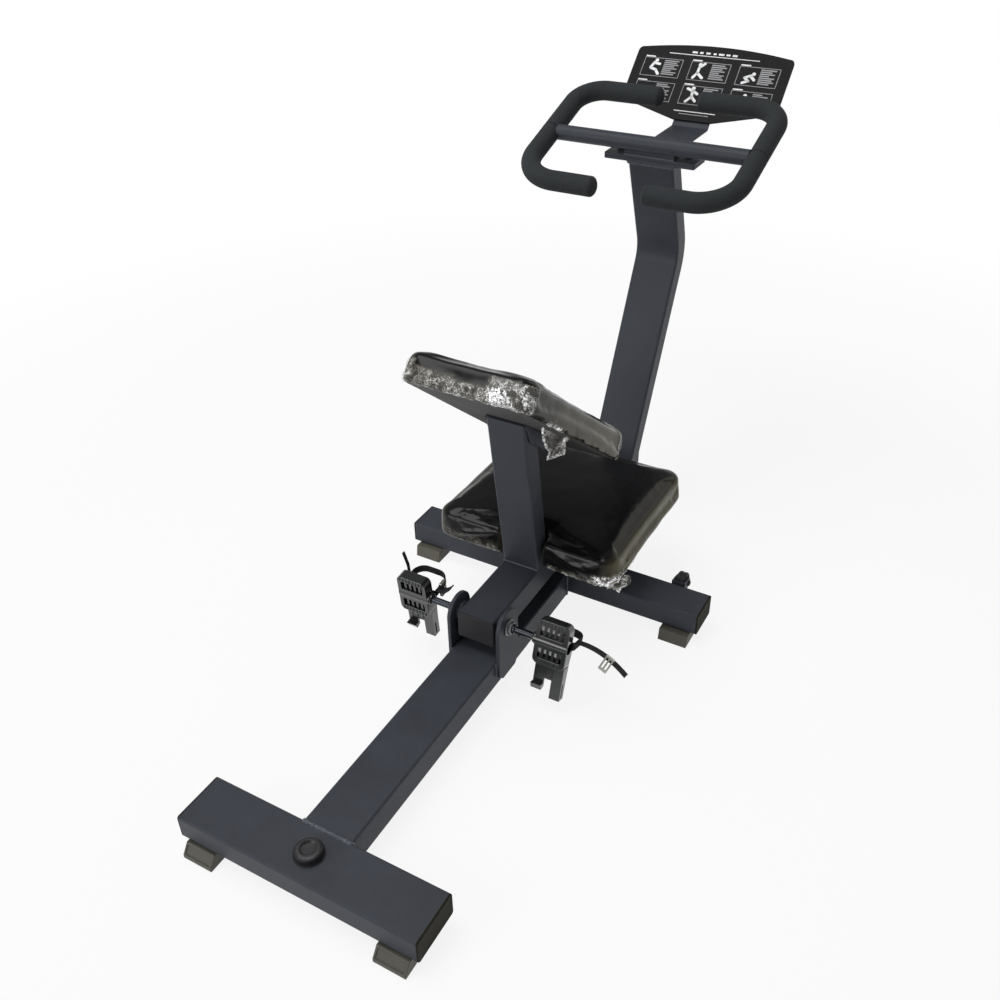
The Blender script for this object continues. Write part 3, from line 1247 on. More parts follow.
def opened(ring, half, depth):
    """The numbers of a ring's points from its notch round to its notch, or all of them without one."""
    inside = [abs(spot.x) < half and spot.y < depth for spot in ring]
    first = inside.index(True) if half else 0
    order = [*range(first, len(ring)), *range(first)]
    return [index for index in order if not inside[index]]


def staples(name, place, form, skip=0.0):
    """Staples along the underside of a board, through the turned-in edge of the cover."""
    ring = pad_outline(form, 0.020, 0.0, 3, 8)
    spots = [place @ Vector((*ring[index], -0.0002)) for index in opened(ring, skip, 0.1)]
    facing = -(place.to_3x3() @ ALONG_Z)
    row(name, [(spots, not skip)], "bar", "rocker", "steel", "Bright steel", Step=sizes().staple_step,
        Length=0.011, Width=0.0011, Height=0.0010, Jitter=0.06, Facing=tuple(facing), Seed=23)


# Handlebar and its plates
BAR_HALF = 0.226


def build_handlebar():
    """Cross tube, loops and foam sleeves."""
    reach = BAR_HALF - 0.0163
    Shape(BAR_FRAME).turned(mirrored([(0.0140, -reach), (0.0160, -reach)]), 64, ALONG_X, (0, 0, 0),
                            round_trip=True).standing_for(
        "handlebar_cross_tube", "Powder coat", "rocker", "frame")
    for side, sign in SIDES:
        painted(f"{side}_handlebar_loop", "Powder coat")
        for end, along in (("rear", -1), ("front", 1)):
            foam_sleeve(side, sign, end, along)


def foam_sleeve(side, sign, end, along):
    """Foam sleeve over one arm of a loop, rounded at its free end."""
    radius, dome, steps = sizes().grip_radius, 0.012, 10
    first, reach, bend = (0.049, -0.160, 0.080) if along < 0 else (0.039, 0.167, 0.060)
    start, *flat = rounded_path([(first, reach), (BAR_HALF, reach), (BAR_HALF, along * 0.001)], bend, 32)
    turns = [math.pi / 2 * step / steps for step in range(1, steps + 1)]
    inner = [start + Vector((dome * (1 - math.cos(turn)), 0)) for turn in turns]
    straight = [start.lerp(flat[0], share) for share in (0.3, 0.6)]
    path = [start + Vector((0.00001, 0)), *inner,
            *(spot for spot in straight if spot.x > inner[-1].x + 0.002), *flat]
    scales = [0.06, *(math.sin(turn) for turn in turns)]
    scales += [1.0] * (len(path) - len(scales))
    path = [Vector((sign * spot.x, spot.y, 0)) for spot in path]
    rings = stations(path, circle(radius, 40), ALONG_Z, scales)
    Shape(BAR_FRAME).loft(rings).standing_for(f"{side}_{end}_grip", "Foam sleeve", "rocker", "foam", 60)


def build_plates():
    """Plates between the mast and the handlebar, with their bolts, and the placard's stem."""
    dressed("mast_top_plate", "Powder coat", "rocker", 0.0010)
    dressed("handlebar_clamp_plate", "Powder coat", "rocker", 0.0008)
    for side, sign in SIDES:
        plate_bolt(side)
    dressed("placard_stem", "Powder coat", "rocker", 0.0010)


def plate_bolt(side):
    """Hexagon bolt with washers, and its nut below."""
    node = f"{side}_plate_bolt"
    low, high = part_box(node)
    centre = Vector((*span(node)[0].xy, 0))
    plate_low, plate_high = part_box("mast_top_plate")
    under, over = plate_low.z, plate_high.z + 0.0063
    made = Shape()
    made.turned([(0, high.z), (0.0062, high.z), (0.0078, high.z - 0.0009), (0.0078, over + 0.0014),
                 (0, over + 0.0014)], 6, ALONG_Z, centre)
    made.turned([(0, over + GAP), (0.0084, over + GAP), (0.0084, over + 0.0016), (0, over + 0.0016)], 32,
                ALONG_Z, centre)
    made.turned([(0, under - GAP), (0.0078, under - GAP), (0.0078, under - 0.0046), (0.0062, under - 0.0055),
                 (0, under - 0.0055)], 6, ALONG_Z, centre)
    made.turned([(0, over + 0.001), (0.0038, over + 0.001), (0.0038, low.z + 0.0006), (0.0032, low.z),
                 (0, low.z)], 24, ALONG_Z, centre)
    made.standing_for(node, "Black steel", "rocker", "black_steel", 30)


# Placard
def placard_frame():
    """The placard's own axes: +Y up its slope from its lower edge, +Z towards the user."""
    thick, plates, up_slope = 0.004, 2 * (GAP + 0.006) + GAP, 0.013
    lift = (thick + GAP) / math.cos(PLACARD_TILT / 2)
    forward = 0.950 + up_slope * math.cos(PLACARD_TILT) - lift * math.sin(PLACARD_TILT / 2)
    rise = HEAD_HEIGHT + plates + up_slope * math.sin(PLACARD_TILT) + lift * math.cos(PLACARD_TILT / 2)
    return placed(0, forward, rise, PLACARD_TILT)


def curve_to(start, control, end, steps):
    """A curve's points after its start, bent towards control."""
    return [tuple((1 - share) ** 2 * a + 2 * share * (1 - share) * b + share ** 2 * c
                  for a, b, c in zip(start, control, end))
            for share in [step / steps for step in range(1, steps + 1)]]


def placard_outline():
    """Crowned top edge, upright sides and a shallow vee below."""
    half, foot, height, vee, corner, crest = 0.181, 0.044, 0.172, 0.034, 0.014, 0.014
    right = [(foot, 0.0), (half - corner, vee),
             *curve_to((half - corner, vee), (half, vee), (half, vee + corner), 8),
             (half, height - corner),
             *curve_to((half, height - corner), (half, height), (half - corner, height), 8)]
    top = curve_to((half - corner, height), (0, height + 2 * crest), (corner - half, height), 36)
    return right + top[:-1] + [(-x, y) for x, y in reversed(right)]


def build_placard():
    """Panel with raised border and its printed figures."""
    place = placard_frame()
    made = Shape(place).plate(placard_outline(), [], 0.0, 0.004, bevel=0.0007)
    made.standing_for("placard_panel", "Placard", "rocker", "placard", 35)
    light, dim = Shape(place), Shape(place)
    for column in range(3):
        for line in range(2):
            picture(light, dim, -0.112 + 0.112 * column, 0.122 - 0.060 * line, column + 3 * line)
    bar(light, -0.105, 0.1595, 0.210, 0.0017)
    for step, width in enumerate((0.012, 0.008, 0.010, 0.007, 0.013, 0.009, 0.011)):
        bar(light, (step - 3) * 0.0155 - width / 2, 0.1650, width, 0.0046)
    bar(light, -0.048, 0.0205, 0.096, 0.0019)
    bar(dim, -0.034, 0.0140, 0.068, 0.0016)
    light.added("placard_print_light", "Print light", "rocker", "placard")
    dim.added("placard_print_dim", "Print dim", "rocker", "placard")


# Height of the prints over the placard's back, and their thickness; figures lie a little over the frames
FACE, INK, OVER = 0.0041, 0.00015, 0.0001


def bar(shape, x, y, width, height):
    """One printed bar, from its lower left corner."""
    shape.plate([(x, y), (x + width, y), (x + width, y + height), (x, y + height)], [], FACE, FACE + INK)


def figure(shape, outline):
    shape.plate(outline, [], FACE + OVER, FACE + OVER + 0.0002)


def limb(shape, start, end, width):
    """One limb of a printed figure, with round ends."""
    along = end - start
    turn = math.atan2(along.y, along.x)
    outline = []
    for spot, side in ((end, -1), (start, 1)):
        for step in range(9):
            angle = turn + side * math.pi / 2 + math.pi * step / 8
            outline.append((spot.x + width / 2 * math.cos(angle), spot.y + width / 2 * math.sin(angle)))
    figure(shape, outline)


# Place of each figure's head, then its limbs
FIGURES = (
    ((0.004, 0.028), [((0.000, 0.022), (-0.006, 0.008)), ((0.000, 0.021), (0.013, 0.019)),
                      ((-0.006, 0.008), (0.008, 0.004)), ((0.008, 0.004), (0.016, -0.006))]),
    ((-0.004, 0.027), [((-0.004, 0.021), (-0.005, 0.006)), ((-0.004, 0.020), (0.006, 0.030)),
                       ((-0.005, 0.006), (-0.012, -0.006)), ((-0.005, 0.006), (0.009, -0.005))]),
    ((0.010, 0.017), [((0.005, 0.013), (-0.008, 0.007)), ((0.004, 0.012), (0.014, 0.003)),
                      ((-0.008, 0.007), (0.002, -0.001)), ((0.002, -0.001), (-0.010, -0.006))]),
    ((-0.009, 0.019), [((-0.006, 0.014), (0.005, 0.006)), ((-0.005, 0.013), (-0.014, 0.005)),
                       ((0.005, 0.006), (0.014, 0.013)), ((0.005, 0.006), (0.012, -0.006))]),
    ((0.000, 0.028), [((0.000, 0.022), (0.001, 0.007)), ((0.000, 0.021), (-0.013, 0.026)),
                      ((0.000, 0.021), (0.012, 0.015)), ((0.001, 0.007), (-0.009, -0.006)),
                      ((0.001, 0.007), (0.012, -0.003))]),
    ((0.007, 0.024), [((0.003, 0.019), (-0.003, 0.005)), ((0.002, 0.017), (-0.011, 0.011)),
                      ((-0.003, 0.005), (0.011, 0.006)), ((-0.003, 0.005), (-0.013, -0.005))]),
)


def picture(light, dim, x, y, index):
    """One framed exercise picture: a thin frame, a stick figure and grey caption bars."""
    half_wide, half_tall, rim = 0.046, 0.0235, 0.0013
    dim.plate(rectangle(x, y, half_wide, half_tall), [rectangle(x, y, half_wide - rim, half_tall - rim)],
              FACE, FACE + INK)
    head, limbs = FIGURES[index]
    centre = Vector((x - 0.020, y - 0.011))
    figure(light, circle(0.0042, 20, centre + Vector(head)))
    for start, end in limbs:
        limb(light, centre + Vector(start), centre + Vector(end), 0.0062)
    for step in range(8):
        width = (0.034, 0.030, 0.035, 0.026, 0.033, 0.021)[(step + index) % 6]
        bar(dim, x + 0.003, y + 0.0165 - 0.0048 * step, width, 0.0029)
    bar(light, x - half_wide + 0.0012, y + half_tall + 0.0010, 0.022, 0.0030)


# Pedals
def pedal_frame(side):
    return Matrix.Translation(PEDAL_PLACE[side]) @ Matrix.Rotation(PEDAL_SWING[side], 4, "X")


def build_pedals():
    """Pedal bodies, toe clips, straps and buckles."""
    for side, sign in SIDES:
        pedal_body(side, sign)
        toe_clip(side)
        strap(side, sign)
        dressed(f"{side}_strap_buckle", "Bright steel", f"{side}_pedal", 0.0007)


def pedal_body(side, sign):
    """Cage of two rails and two end bars round its windows, with the barrel and its studs."""
    place = pedal_frame(side)
    body = f"{side}_pedal"
    wide, long, thick, rail, end_bar, barrel = 0.068, 0.092, 0.024, 0.009, 0.013, 0.013
    window = long / 2 - end_bar - barrel
    ring = rounded_ring(wide - 2 * rail, window, 0.003, 4)
    holes = [[(x, y + hand * (barrel + window / 2)) for x, y in ring] for hand in (-1, 1)]
    made = Shape(place)
    made.plate(rounded_ring(wide, long, 0.012, 8), holes, -thick / 2, thick / 2, (ALONG_X, ALONG_Z, -ALONG_Y),
               bevel=0.0016, segments=3)
    low, high = -wide / 2, wide / 2
    made.turned([(0, low - 0.0070), (0.0098, low - 0.0070), (0.0108, low - 0.0062), (0.0112, low - 0.004),
                 (0.0124, low - 0.0036), (0.0130, low - 0.0026), (0.0130, high - 0.0010), (0.0120, high),
                 (0, high)], 48, ALONG_X * sign)
    for hand in (-1, 1):
        for x in (-0.0165, -0.0055, 0.0055, 0.0165):
            made.block((0.0056, thick * 0.72, window * 0.98), (x, 0, hand * (barrel + window / 2)), 0.0007)
    made.standing_for(f"{body}_body", "Moulded plastic", body, "plastic")
    lines = []
    for face in (-1, 1):
        for end in (-1, 1):
            for level in (0.0022, 0.0065):
                z = end * (long / 2 - end_bar + 0.002 + level)
                lines.append(([place @ Vector((x, face * (thick / 2 + 0.0002), z))
                               for x in (-0.026, 0.026)], False))
    facing = place.to_3x3() @ ALONG_Y
    row(f"{body}_studs", lines, "stud", body, "plastic", "Moulded plastic", Step=0.0065, Length=0.0034,
        Width=0.0034, Height=0.0036, Jitter=0.0, Core_radius=0.0004, Facing=tuple(facing))


def toe_clip(side):
    """Moulded toe clip, with stiffening ridges down its apron."""
    body = f"{side}_pedal"
    dressed(f"{side}_toe_clip", "Moulded plastic", body, 0.0010)
    ridges = Shape(pedal_frame(side))
    for x in (-0.020, -0.007, 0.007):
        ridges.block((0.0022, 0.0022, 0.024), (x, 0.0012, -0.062), 0.0006)
    ridges.added(f"{side}_toe_clip_ridges", "Moulded plastic", body, "plastic")


def band_rings(spots, normals, width_axis, width, thick):
    """Rings of a flat band with soft edges along a run of points."""
    profile = rounded_ring(width, thick, thick * 0.42, 2)
    return [[spot + width_axis * x + normal * y for x, y in profile] for spot, normal in zip(spots, normals)]


def headings(spots, across):
    """For each point of a run, the direction square to the run and to across."""
    found = []
    for index in range(len(spots)):
        along = spots[min(len(spots) - 1, index + 1)] - spots[max(0, index - 1)]
        found.append(along.cross(across).normalized())
    return found


def strap_loop(half, near, far, fold, bend):
    """Points and outward directions round the closed band over the foot."""
    corners = [(half, near, fold), (half, far, bend), (-half, far, bend), (-half, near, fold)]
    spots, normals = [], []
    for index, (x, y, radius) in enumerate(corners):
        up = -1 if index in (0, 3) else 1
        centre = Vector((x - math.copysign(radius, x), y - up * radius, 0))
        for step in range(9):
            angle = math.radians(90 * index - 90 + 90 * step / 8)
            out = Vector((math.cos(angle), math.sin(angle), 0))
            spots.append(centre + out * radius)
            normals.append(out)
    full_spots, full_normals = [], []
    for index, here in enumerate(spots):
        after = spots[(index + 1) % len(spots)]
        turn = normals[(index + 1) % len(spots)]
        parts = max(1, round((after - here).length / 0.004))
        for part in range(parts):
            full_spots.append(here.lerp(after, part / parts))
            full_normals.append(normals[index].lerp(turn, part / parts).normalized())
    return full_spots, full_normals


def strap(side, sign):
    """Woven band over the foot, its loose ends and its rows of stitches."""
    place, body = pedal_frame(side), f"{side}_pedal"
    width, thick, half, near, far = 0.017, 0.0025, 0.037, 0.01455, 0.07075
    loop, outward = strap_loop(half, near, far, 0.00275, 0.02475)
    length, drop = (0.107, 0.032) if sign > 0 else (0.034, -0.017)
    rise, middle = 0.006, 0.0258
    curve = curve_to((half - thick / 2, rise), (half + length / 2, rise + math.copysign(rise, drop)),
                     (half + length, rise - drop), 26)
    tail = [Vector((half - thick / 2, middle, rise))] + [Vector((x, middle, z)) for x, z in curve]
    turned_by = [-side_on for side_on in headings(tail, ALONG_Y)]
    made = Shape(place)
    made.loft(band_rings(loop, outward, ALONG_Z, width, thick), loop=True)
    made.loft(band_rings(tail, turned_by, ALONG_Y, width, thick))
    runs = [(loop, outward, ALONG_Z, width, True), (tail, turned_by, ALONG_Y, width, False)]
    if sign < 0:
        upright = [Vector((-half, far / 2, z)) for z in (0, 0.012, 0.024, 0.032)]
        upright += [Vector((-half - lean, far / 2, z))
                    for lean, z in ((0.0006, 0.036), (0.0035, 0.0495), (0.007, 0.065))]
        square_on = headings(upright, ALONG_Y)
        made.loft(band_rings(upright, square_on, ALONG_Y, 0.008, thick))
    made.standing_for(f"{body}_strap", "Webbing", body, "webbing", 50)
    lines = []
    for spots, square, across, wide, closed in runs:
        for edge in (-1, 1):
            for face in (-1, 1):
                inward = across * (edge * (wide / 2 - 0.0023))
                lines.append(([place @ (spot + out * (face * thick / 2) + inward)
                               for spot, out in zip(spots, square)], closed))
    row(f"{body}_strap_stitches", lines, "bar", body, "webbing", "Thread", Step=sizes().stitch_step,
        Length=0.0019, Width=0.0005, Height=0.0005, Jitter=0.1, Seed=31)


# Packing film left on the pads: both ends of each bunched stretch on the pad's outline, its reach
# round them, the share of the pad's height that it climbs to, and how strongly it is bunched
FILM_WALL = 0.0002
TURNED_UNDER = 0.012
SEAT_FILM = (
    ((-0.126, 0.000), (-0.040, 0.000), 0.022, 0.62, 0.55),
    ((-0.040, 0.000), (0.100, 0.000), 0.022, 0.46, 0.68),
    ((-0.126, 0.006), (-0.116, 0.000), 0.022, 0.95, 0.60),
    ((0.070, 0.000), (0.124, 0.004), 0.030, 1.00, 1.00),
    ((0.139, 0.110), (0.141, 0.150), 0.022, 0.10, 1.00),
    ((0.154, 0.440), (0.150, 0.453), 0.016, 0.90, 0.70),
)
SHIN_FILM = (
    ((-0.207, 0.020), (-0.070, 0.000), 0.022, 0.50, 0.22),
    ((0.070, 0.000), (0.160, 0.000), 0.014, 0.22, 0.55),
    ((0.180, 0.000), (0.207, 0.030), 0.024, 0.50, 1.00),
    ((0.207, 0.050), (0.207, 0.110), 0.012, 0.15, 0.60),
)


def build_film():
    """Clear film still stretched round the sides of both pads, where it is bunched, and its loose ends."""
    film_tuft("seat_film_tuft", UNDER_SEAT, (0.096, 0.152, -0.002), (0.018, 0.078, 0),
              (-0.004, 0.032, -0.042), 5)
    film_tuft("shin_film_tuft", SHIN_FRAME, (0.192, 0.002, 0.012), (0.026, 0.046, 0),
              (0.014, -0.008, -0.013), 9)
    film_sheet("seat", UNDER_SEAT, SEAT_FORM, SEAT_HEIGHT - 0.009, SEAT_FILM, 0.0, 41)
    film_sheet("shin", SHIN_FRAME, SHIN_FORM, SHIN_HEIGHT - 0.009, SHIN_FILM, 0.054, 43)


def film_tuft(name, place, corner, along, down, seed):
    """A loose end of film that hangs from a pad's edge in folds."""
    across, levels = 26, 18
    spots, faces, rims = [], [], []
    for column in range(across + 1):
        for level in range(levels + 1):
            u, v = column / across, level / levels
            flat = Vector(corner) + Vector(along) * u + Vector(down) * (v * math.sin(math.pi * u) ** 0.6)
            fold, fine = (Vector([noise.noise(Vector((u * wide + shift, v * tall, seed)))
                                  for shift in (0, 7, 13)])
                          for wide, tall in ((3.1, 2.6), (9, 8)))
            spots.append(place @ (flat + (fold * 0.011 + fine * 0.0045) * min(1.0, v * 3)))
            rims.append(0.35 + 0.65 * max(v ** 3, abs(2 * u - 1) ** 4))
            if column < across and level < levels:
                first = column * (levels + 1) + level
                faces.append((first, first + 1, first + levels + 2, first + levels + 1))
    sheet_piece(name, spots, faces, rims)


def sheet_piece(name, spots, faces, bunch):
    """The bunched part of a sheet of film with its mask, made into a thin closed wall."""
    faces = [face for face in faces if max(bunch[corner] for corner in face) > 0.01]
    used = sorted({corner for face in faces for corner in face})
    renamed = {corner: index for index, corner in enumerate(used)}
    mesh = bpy.data.meshes.new(name)
    mesh.from_pydata([spots[corner] for corner in used], [],
                     [[renamed[corner] for corner in face] for face in faces])
    marks = mesh.attributes.new("Bunch", "FLOAT", "POINT").data
    marks.foreach_set("value", [bunch[corner] for corner in used])
    sheet = new_object(name, mesh)
    wall = sheet.modifiers.new("Wall", "SOLIDIFY")
    wall.thickness, wall.offset = FILM_WALL, 1
    bake_modifiers(sheet)
    own = bmesh.new()
    own.from_mesh(sheet.data)
    bmesh.ops.recalc_face_normals(own, faces=own.faces[:])
    own.to_mesh(sheet.data)
    own.free()
    settle(sheet, "Clear film", "rocker", (), 95)


def bunched(flat, share, patches):
    """How crumpled the film is at a place on the pad's outline and a share of its height."""
    most = 0.0
    for start, end, radius, top, strength in patches:
        start, run = Vector(start), Vector(end) - Vector(start)
        along = max(0.0, min(1.0, (flat - start).dot(run) / run.length_squared))
        away = (flat - start - run * along).length
        inside = max(0.0, min(1.0, (radius - away) / (radius * 0.4)))
        below = max(0.0, min(1.0, (top - share) / 0.18 + 0.5))
        most = max(most, strength * inside * below)
    return most


def evened(grid, closed):
    """The grid with each inner point moved half way to the middle of its four neighbours."""
    last, moved = len(grid) - 1, []
    for index, column in enumerate(grid):
        if not closed and index in (0, last):
            moved.append(column)
            continue
        before, after = grid[index - 1], grid[(index + 1) % (last + 1)]
        fresh = [column[0]]
        for step in range(1, len(column) - 1):
            middle = (before[step] + after[step] + column[step - 1] + column[step + 1]) / 4
            fresh.append(column[step].lerp(middle, 0.5))
        moved.append(fresh + [column[-1]])
    return moved


def film_sheet(pad, place, form, tall, patches, gap, seed):
    """A thin sheet laid on a pad's sides and turned under it, pushed into folds where it is bunched."""
    ring = pad_outline(form, 0.0, 0.0025, 20, 130)
    inner = pad_outline(form, TURNED_UNDER, 0.0, 20, 130)
    cover = bpy.data.objects[pad + "_pad_cover"]
    bpy.context.view_layer.update()
    rises = 18
    levels = [(1.0, 0.0), (0.66, 0.0), (0.33, 0.0)]
    levels += [(0.0, tall * step / rises) for step in range(rises + 1)]
    order = opened(ring, gap, 0.02)
    grid, facing, bunch = [], [], []
    for index in order:
        column = []
        for turned_in, level in levels:
            flat = ring[index].lerp(inner[index], turned_in)
            near, normal = cover.closest_point_on_mesh(place @ Vector((flat.x, flat.y, level)))[1:3]
            column.append(near)
            facing.append(normal)
            bunch.append(bunched(flat, level / tall, patches))
        grid.append(column)
    for _ in range(6):
        grid = evened(grid, not gap)
    spots = [spot for column in grid for spot in column]
    for index, (spot, normal, gathered) in enumerate(zip(spots, facing, bunch)):
        fold = max(0.0, 1 - 2.4 * abs(noise.noise(spot * 95 + Vector((0, 0, seed)))))
        small = max(0.0, 1 - 2.0 * abs(noise.noise(spot * 240 + Vector((seed, 0, 0)))))
        spots[index] = spot + normal * (0.0010 + min(1.0, gathered) * (0.0026 * fold + 0.0014 * small))
    count, faces = len(levels), []
    for index in range(len(order) - (1 if gap else 0)):
        after = (index + 1) % len(order)
        for step in range(count - 1):
            faces.append((index * count + step, after * count + step, after * count + step + 1,
                          index * count + step + 1))
    sheet_piece(pad + "_film", spots, faces, bunch)


# Stage: each lamp's name, place, width and power, and the world's level as a light
LAMPS = (("key", (-0.8, -0.4, 3.4), 2.2, 62), ("fill", (-2.0, -4.2, 1.9), 2.2, 70),
         ("back", (1.2, 3.2, 2.8), 2.0, 12))
WORLD_LIGHT = 0.25


def build_stage():
    """Pale floor, soft studio lamps, world and the camera."""
    scene = bpy.context.scene
    bpy.ops.mesh.primitive_plane_add(size=30, location=(0, 0, 0))
    floor = bpy.context.object
    floor.name = "floor"
    tree, shader, place = new_material("Floor")
    base = tuple(colours().floor)
    tone = mixed(tree, noise_node(tree, place, 3.0, 3), base, lighter(base, 1.03))
    feeds(tree, shader, Base_Color=tone, Roughness=0.9, Specular_IOR_Level=0.1)
    glow = tree.nodes.new("ShaderNodeEmission")
    rays = tree.nodes.new("ShaderNodeLightPath").outputs
    seen = maths(tree, "MAXIMUM", rays["Is Camera Ray"],
                 maths(tree, "MAXIMUM", rays["Is Glossy Ray"], rays["Is Transmission Ray"]))
    away = tree.nodes.new("ShaderNodeVectorMath")
    away.operation = "LENGTH"
    feed(tree, place, away.inputs[0])
    share = times(tree, seen, spread(tree, away.outputs["Value"], 1.2, 2.6, 0.86, 1.0))
    blend = tree.nodes.new("ShaderNodeMixShader")
    for index, part in enumerate((share, shader.outputs[0], glow.outputs[0])):
        feed(tree, part, blend.inputs[index])
    feed(tree, blend.outputs[0], tree.nodes["Material Output"].inputs["Surface"])
    floor.data.materials.append(FINISHES["Floor"])
    for name, spot, size, power in LAMPS:
        data = bpy.data.lights.new(name, "AREA")
        data.shape, data.size, data.energy = "SQUARE", size, power
        lamp = new_object(name, data)
        lamp.location = spot
        aim = Vector((0, 0, 0.4)) - Vector(spot)
        lamp.rotation_euler = aim.to_track_quat("-Z", "Y").to_euler()
    build_world(scene)
    scene.view_settings.view_transform = "Standard"
    place_camera(scene)


def build_world(scene):
    """White where the camera sees it, dim as a light and in reflections from above."""
    world = scene.world = bpy.data.worlds.new("Studio")
    world.use_nodes = True
    sky = world.node_tree
    rays = sky.nodes.new("ShaderNodeLightPath").outputs
    seen = maths(sky, "MAXIMUM", rays["Is Camera Ray"], rays["Is Transmission Ray"])
    parts = sky.nodes.new("ShaderNodeSeparateXYZ")
    feed(sky, sky.nodes.new("ShaderNodeTexCoord").outputs["Generated"], parts.inputs[0])
    mirror = times(sky, rays["Is Glossy Ray"], spread(sky, parts.outputs["Z"], 0.05, 0.45, 1.0, 0.22))
    level = maths(sky, "MAXIMUM", maths(sky, "MAXIMUM", seen, mirror), WORLD_LIGHT)
    feeds(sky, sky.nodes["Background"], Color=(1, 1, 1, 1), Strength=level)


def place_camera(scene):
    """The camera at the view of the photograph."""
    data = bpy.data.cameras.new("camera")
    data.lens, data.sensor_width = 37.23, 36
    camera = new_object("camera", data)
    yaw, pitch, roll = math.radians(30.2), math.radians(35.04), math.radians(-1.29)
    ahead = Vector((-math.sin(yaw) * math.cos(pitch), math.cos(yaw) * math.cos(pitch), -math.sin(pitch)))
    right = ahead.cross(ALONG_Z).normalized()
    up = right.cross(ahead)
    right, up = (right * math.cos(roll) + up * math.sin(roll), up * math.cos(roll) - right * math.sin(roll))
    turn = Matrix((right, up, -ahead)).transposed().to_4x4()
    camera.matrix_world = Matrix.Translation((0.7998, -1.529095, 1.4937)) @ turn
    scene.camera = camera


# Operators, one for each group of pieces
class STRETCHING_OT_finishes(bpy.types.Operator):
    """Builds the finishes that every piece uses"""
    bl_idname = "stretching.finishes"
    bl_label = "Finishes"

    def execute(self, context):
        build_finishes()
        return {"FINISHED"}


class STRETCHING_OT_base(bpy.types.Operator):
    """Builds the crossbars, main beam, caps, feet and plug"""
    bl_idname = "stretching.base"
    bl_label = "Base frame"

    def execute(self, context):
        build_base()
        return {"FINISHED"}


class STRETCHING_OT_pivot(bpy.types.Operator):
    """Builds the pivot ears, axle, nuts, stop, rest and spindles"""
    bl_idname = "stretching.pivot"
    bl_label = "Pivot"

    def execute(self, context):
        build_pivot()
        return {"FINISHED"}


class STRETCHING_OT_wheels(bpy.types.Operator):
    """Builds the transport wheels and their brackets"""
    bl_idname = "stretching.wheels"
    bl_label = "Transport wheels"

    def execute(self, context):
        build_wheels()
        return {"FINISHED"}


class STRETCHING_OT_rocker(bpy.types.Operator):
    """Builds the rocker tube, seat post, mast and brackets"""
    bl_idname = "stretching.rocker"
    bl_label = "Rocker"

    def execute(self, context):
        build_rocker()
        return {"FINISHED"}


class STRETCHING_OT_seat(bpy.types.Operator):
    """Builds the seat pad and its board"""
    bl_idname = "stretching.seat"
    bl_label = "Seat pad"

    def execute(self, context):
        build_seat()
        return {"FINISHED"}


class STRETCHING_OT_shin_pad(bpy.types.Operator):
    """Builds the shin pad and its board"""
    bl_idname = "stretching.shin_pad"
    bl_label = "Shin pad"

    def execute(self, context):
        build_shin_pad()
        return {"FINISHED"}


class STRETCHING_OT_film(bpy.types.Operator):
    """Lays the remains of the packing film along the pads"""
    bl_idname = "stretching.film"
    bl_label = "Packing film"

    def execute(self, context):
        build_film()
        return {"FINISHED"}


class STRETCHING_OT_handlebar(bpy.types.Operator):
    """Builds the cross tube and the foam sleeves"""
    bl_idname = "stretching.handlebar"
    bl_label = "Handlebar"

    def execute(self, context):
        build_handlebar()
        return {"FINISHED"}


class STRETCHING_OT_plates(bpy.types.Operator):
    """Builds the mast head plates, their bolts and the placard stem"""
    bl_idname = "stretching.plates"
    bl_label = "Head plates"

    def execute(self, context):
        build_plates()
        return {"FINISHED"}


class STRETCHING_OT_placard(bpy.types.Operator):
    """Builds the instruction placard and its printed figures"""
    bl_idname = "stretching.placard"
    bl_label = "Placard"

    def execute(self, context):
        build_placard()
        return {"FINISHED"}


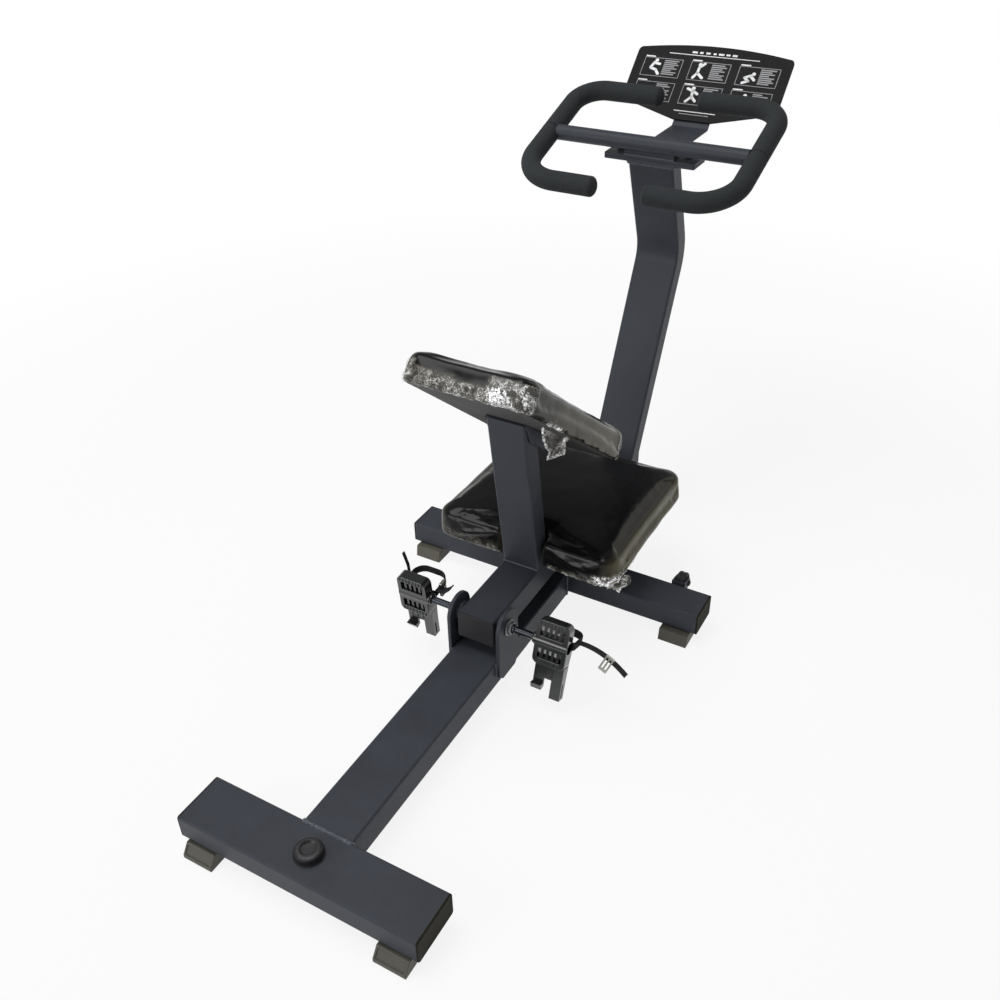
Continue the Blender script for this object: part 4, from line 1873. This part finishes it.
class STRETCHING_OT_pedals(bpy.types.Operator):
    """Builds the pedals, toe clips, straps and buckles"""
    bl_idname = "stretching.pedals"
    bl_label = "Pedals"

    def execute(self, context):
        build_pedals()
        return {"FINISHED"}


class STRETCHING_OT_welds(bpy.types.Operator):
    """Runs the weld ripples along the joints of the frame"""
    bl_idname = "stretching.welds"
    bl_label = "Welds"

    def execute(self, context):
        build_welds()
        return {"FINISHED"}


class STRETCHING_OT_stage(bpy.types.Operator):
    """Sets the floor, lamps, world and camera"""
    bl_idname = "stretching.stage"
    bl_label = "Stage"

    def execute(self, context):
        build_stage()
        return {"FINISHED"}


OPERATORS = (STRETCHING_OT_finishes, STRETCHING_OT_base, STRETCHING_OT_pivot, STRETCHING_OT_wheels,
             STRETCHING_OT_rocker, STRETCHING_OT_seat, STRETCHING_OT_shin_pad, STRETCHING_OT_film,
             STRETCHING_OT_handlebar, STRETCHING_OT_plates, STRETCHING_OT_placard, STRETCHING_OT_pedals,
             STRETCHING_OT_welds, STRETCHING_OT_stage)


class STRETCHING_PT_panel(bpy.types.Panel):
    """Sizes, colours and the steps that build the machine"""
    bl_idname = "STRETCHING_PT_panel"
    bl_label = "Leg stretching machine"
    bl_space_type = "VIEW_3D"
    bl_region_type = "UI"
    bl_category = "Stretching"

    def draw(self, context):
        for group in (context.scene.stretching_sizes, context.scene.stretching_colours):
            box = self.layout.box()
            for name in group.__annotations__:
                box.prop(group, name)
        for operator in OPERATORS:
            self.layout.operator(operator.bl_idname)


CLASSES = (MachineSizes, MachineColours, *OPERATORS, STRETCHING_PT_panel)


def register():
    for item in CLASSES:
        bpy.utils.register_class(item)
    bpy.types.Scene.stretching_sizes = bpy.props.PointerProperty(type=MachineSizes)
    bpy.types.Scene.stretching_colours = bpy.props.PointerProperty(type=MachineColours)


def unregister():
    del bpy.types.Scene.stretching_colours
    del bpy.types.Scene.stretching_sizes
    for item in reversed(CLASSES):
        bpy.utils.unregister_class(item)


def main():
    """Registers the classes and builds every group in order."""
    register()
    for operator in OPERATORS:
        group, name = operator.bl_idname.split(".")
        getattr(getattr(bpy.ops, group), name)()
    bpy.context.view_layer.update()


if __name__ == "__main__":
    main()
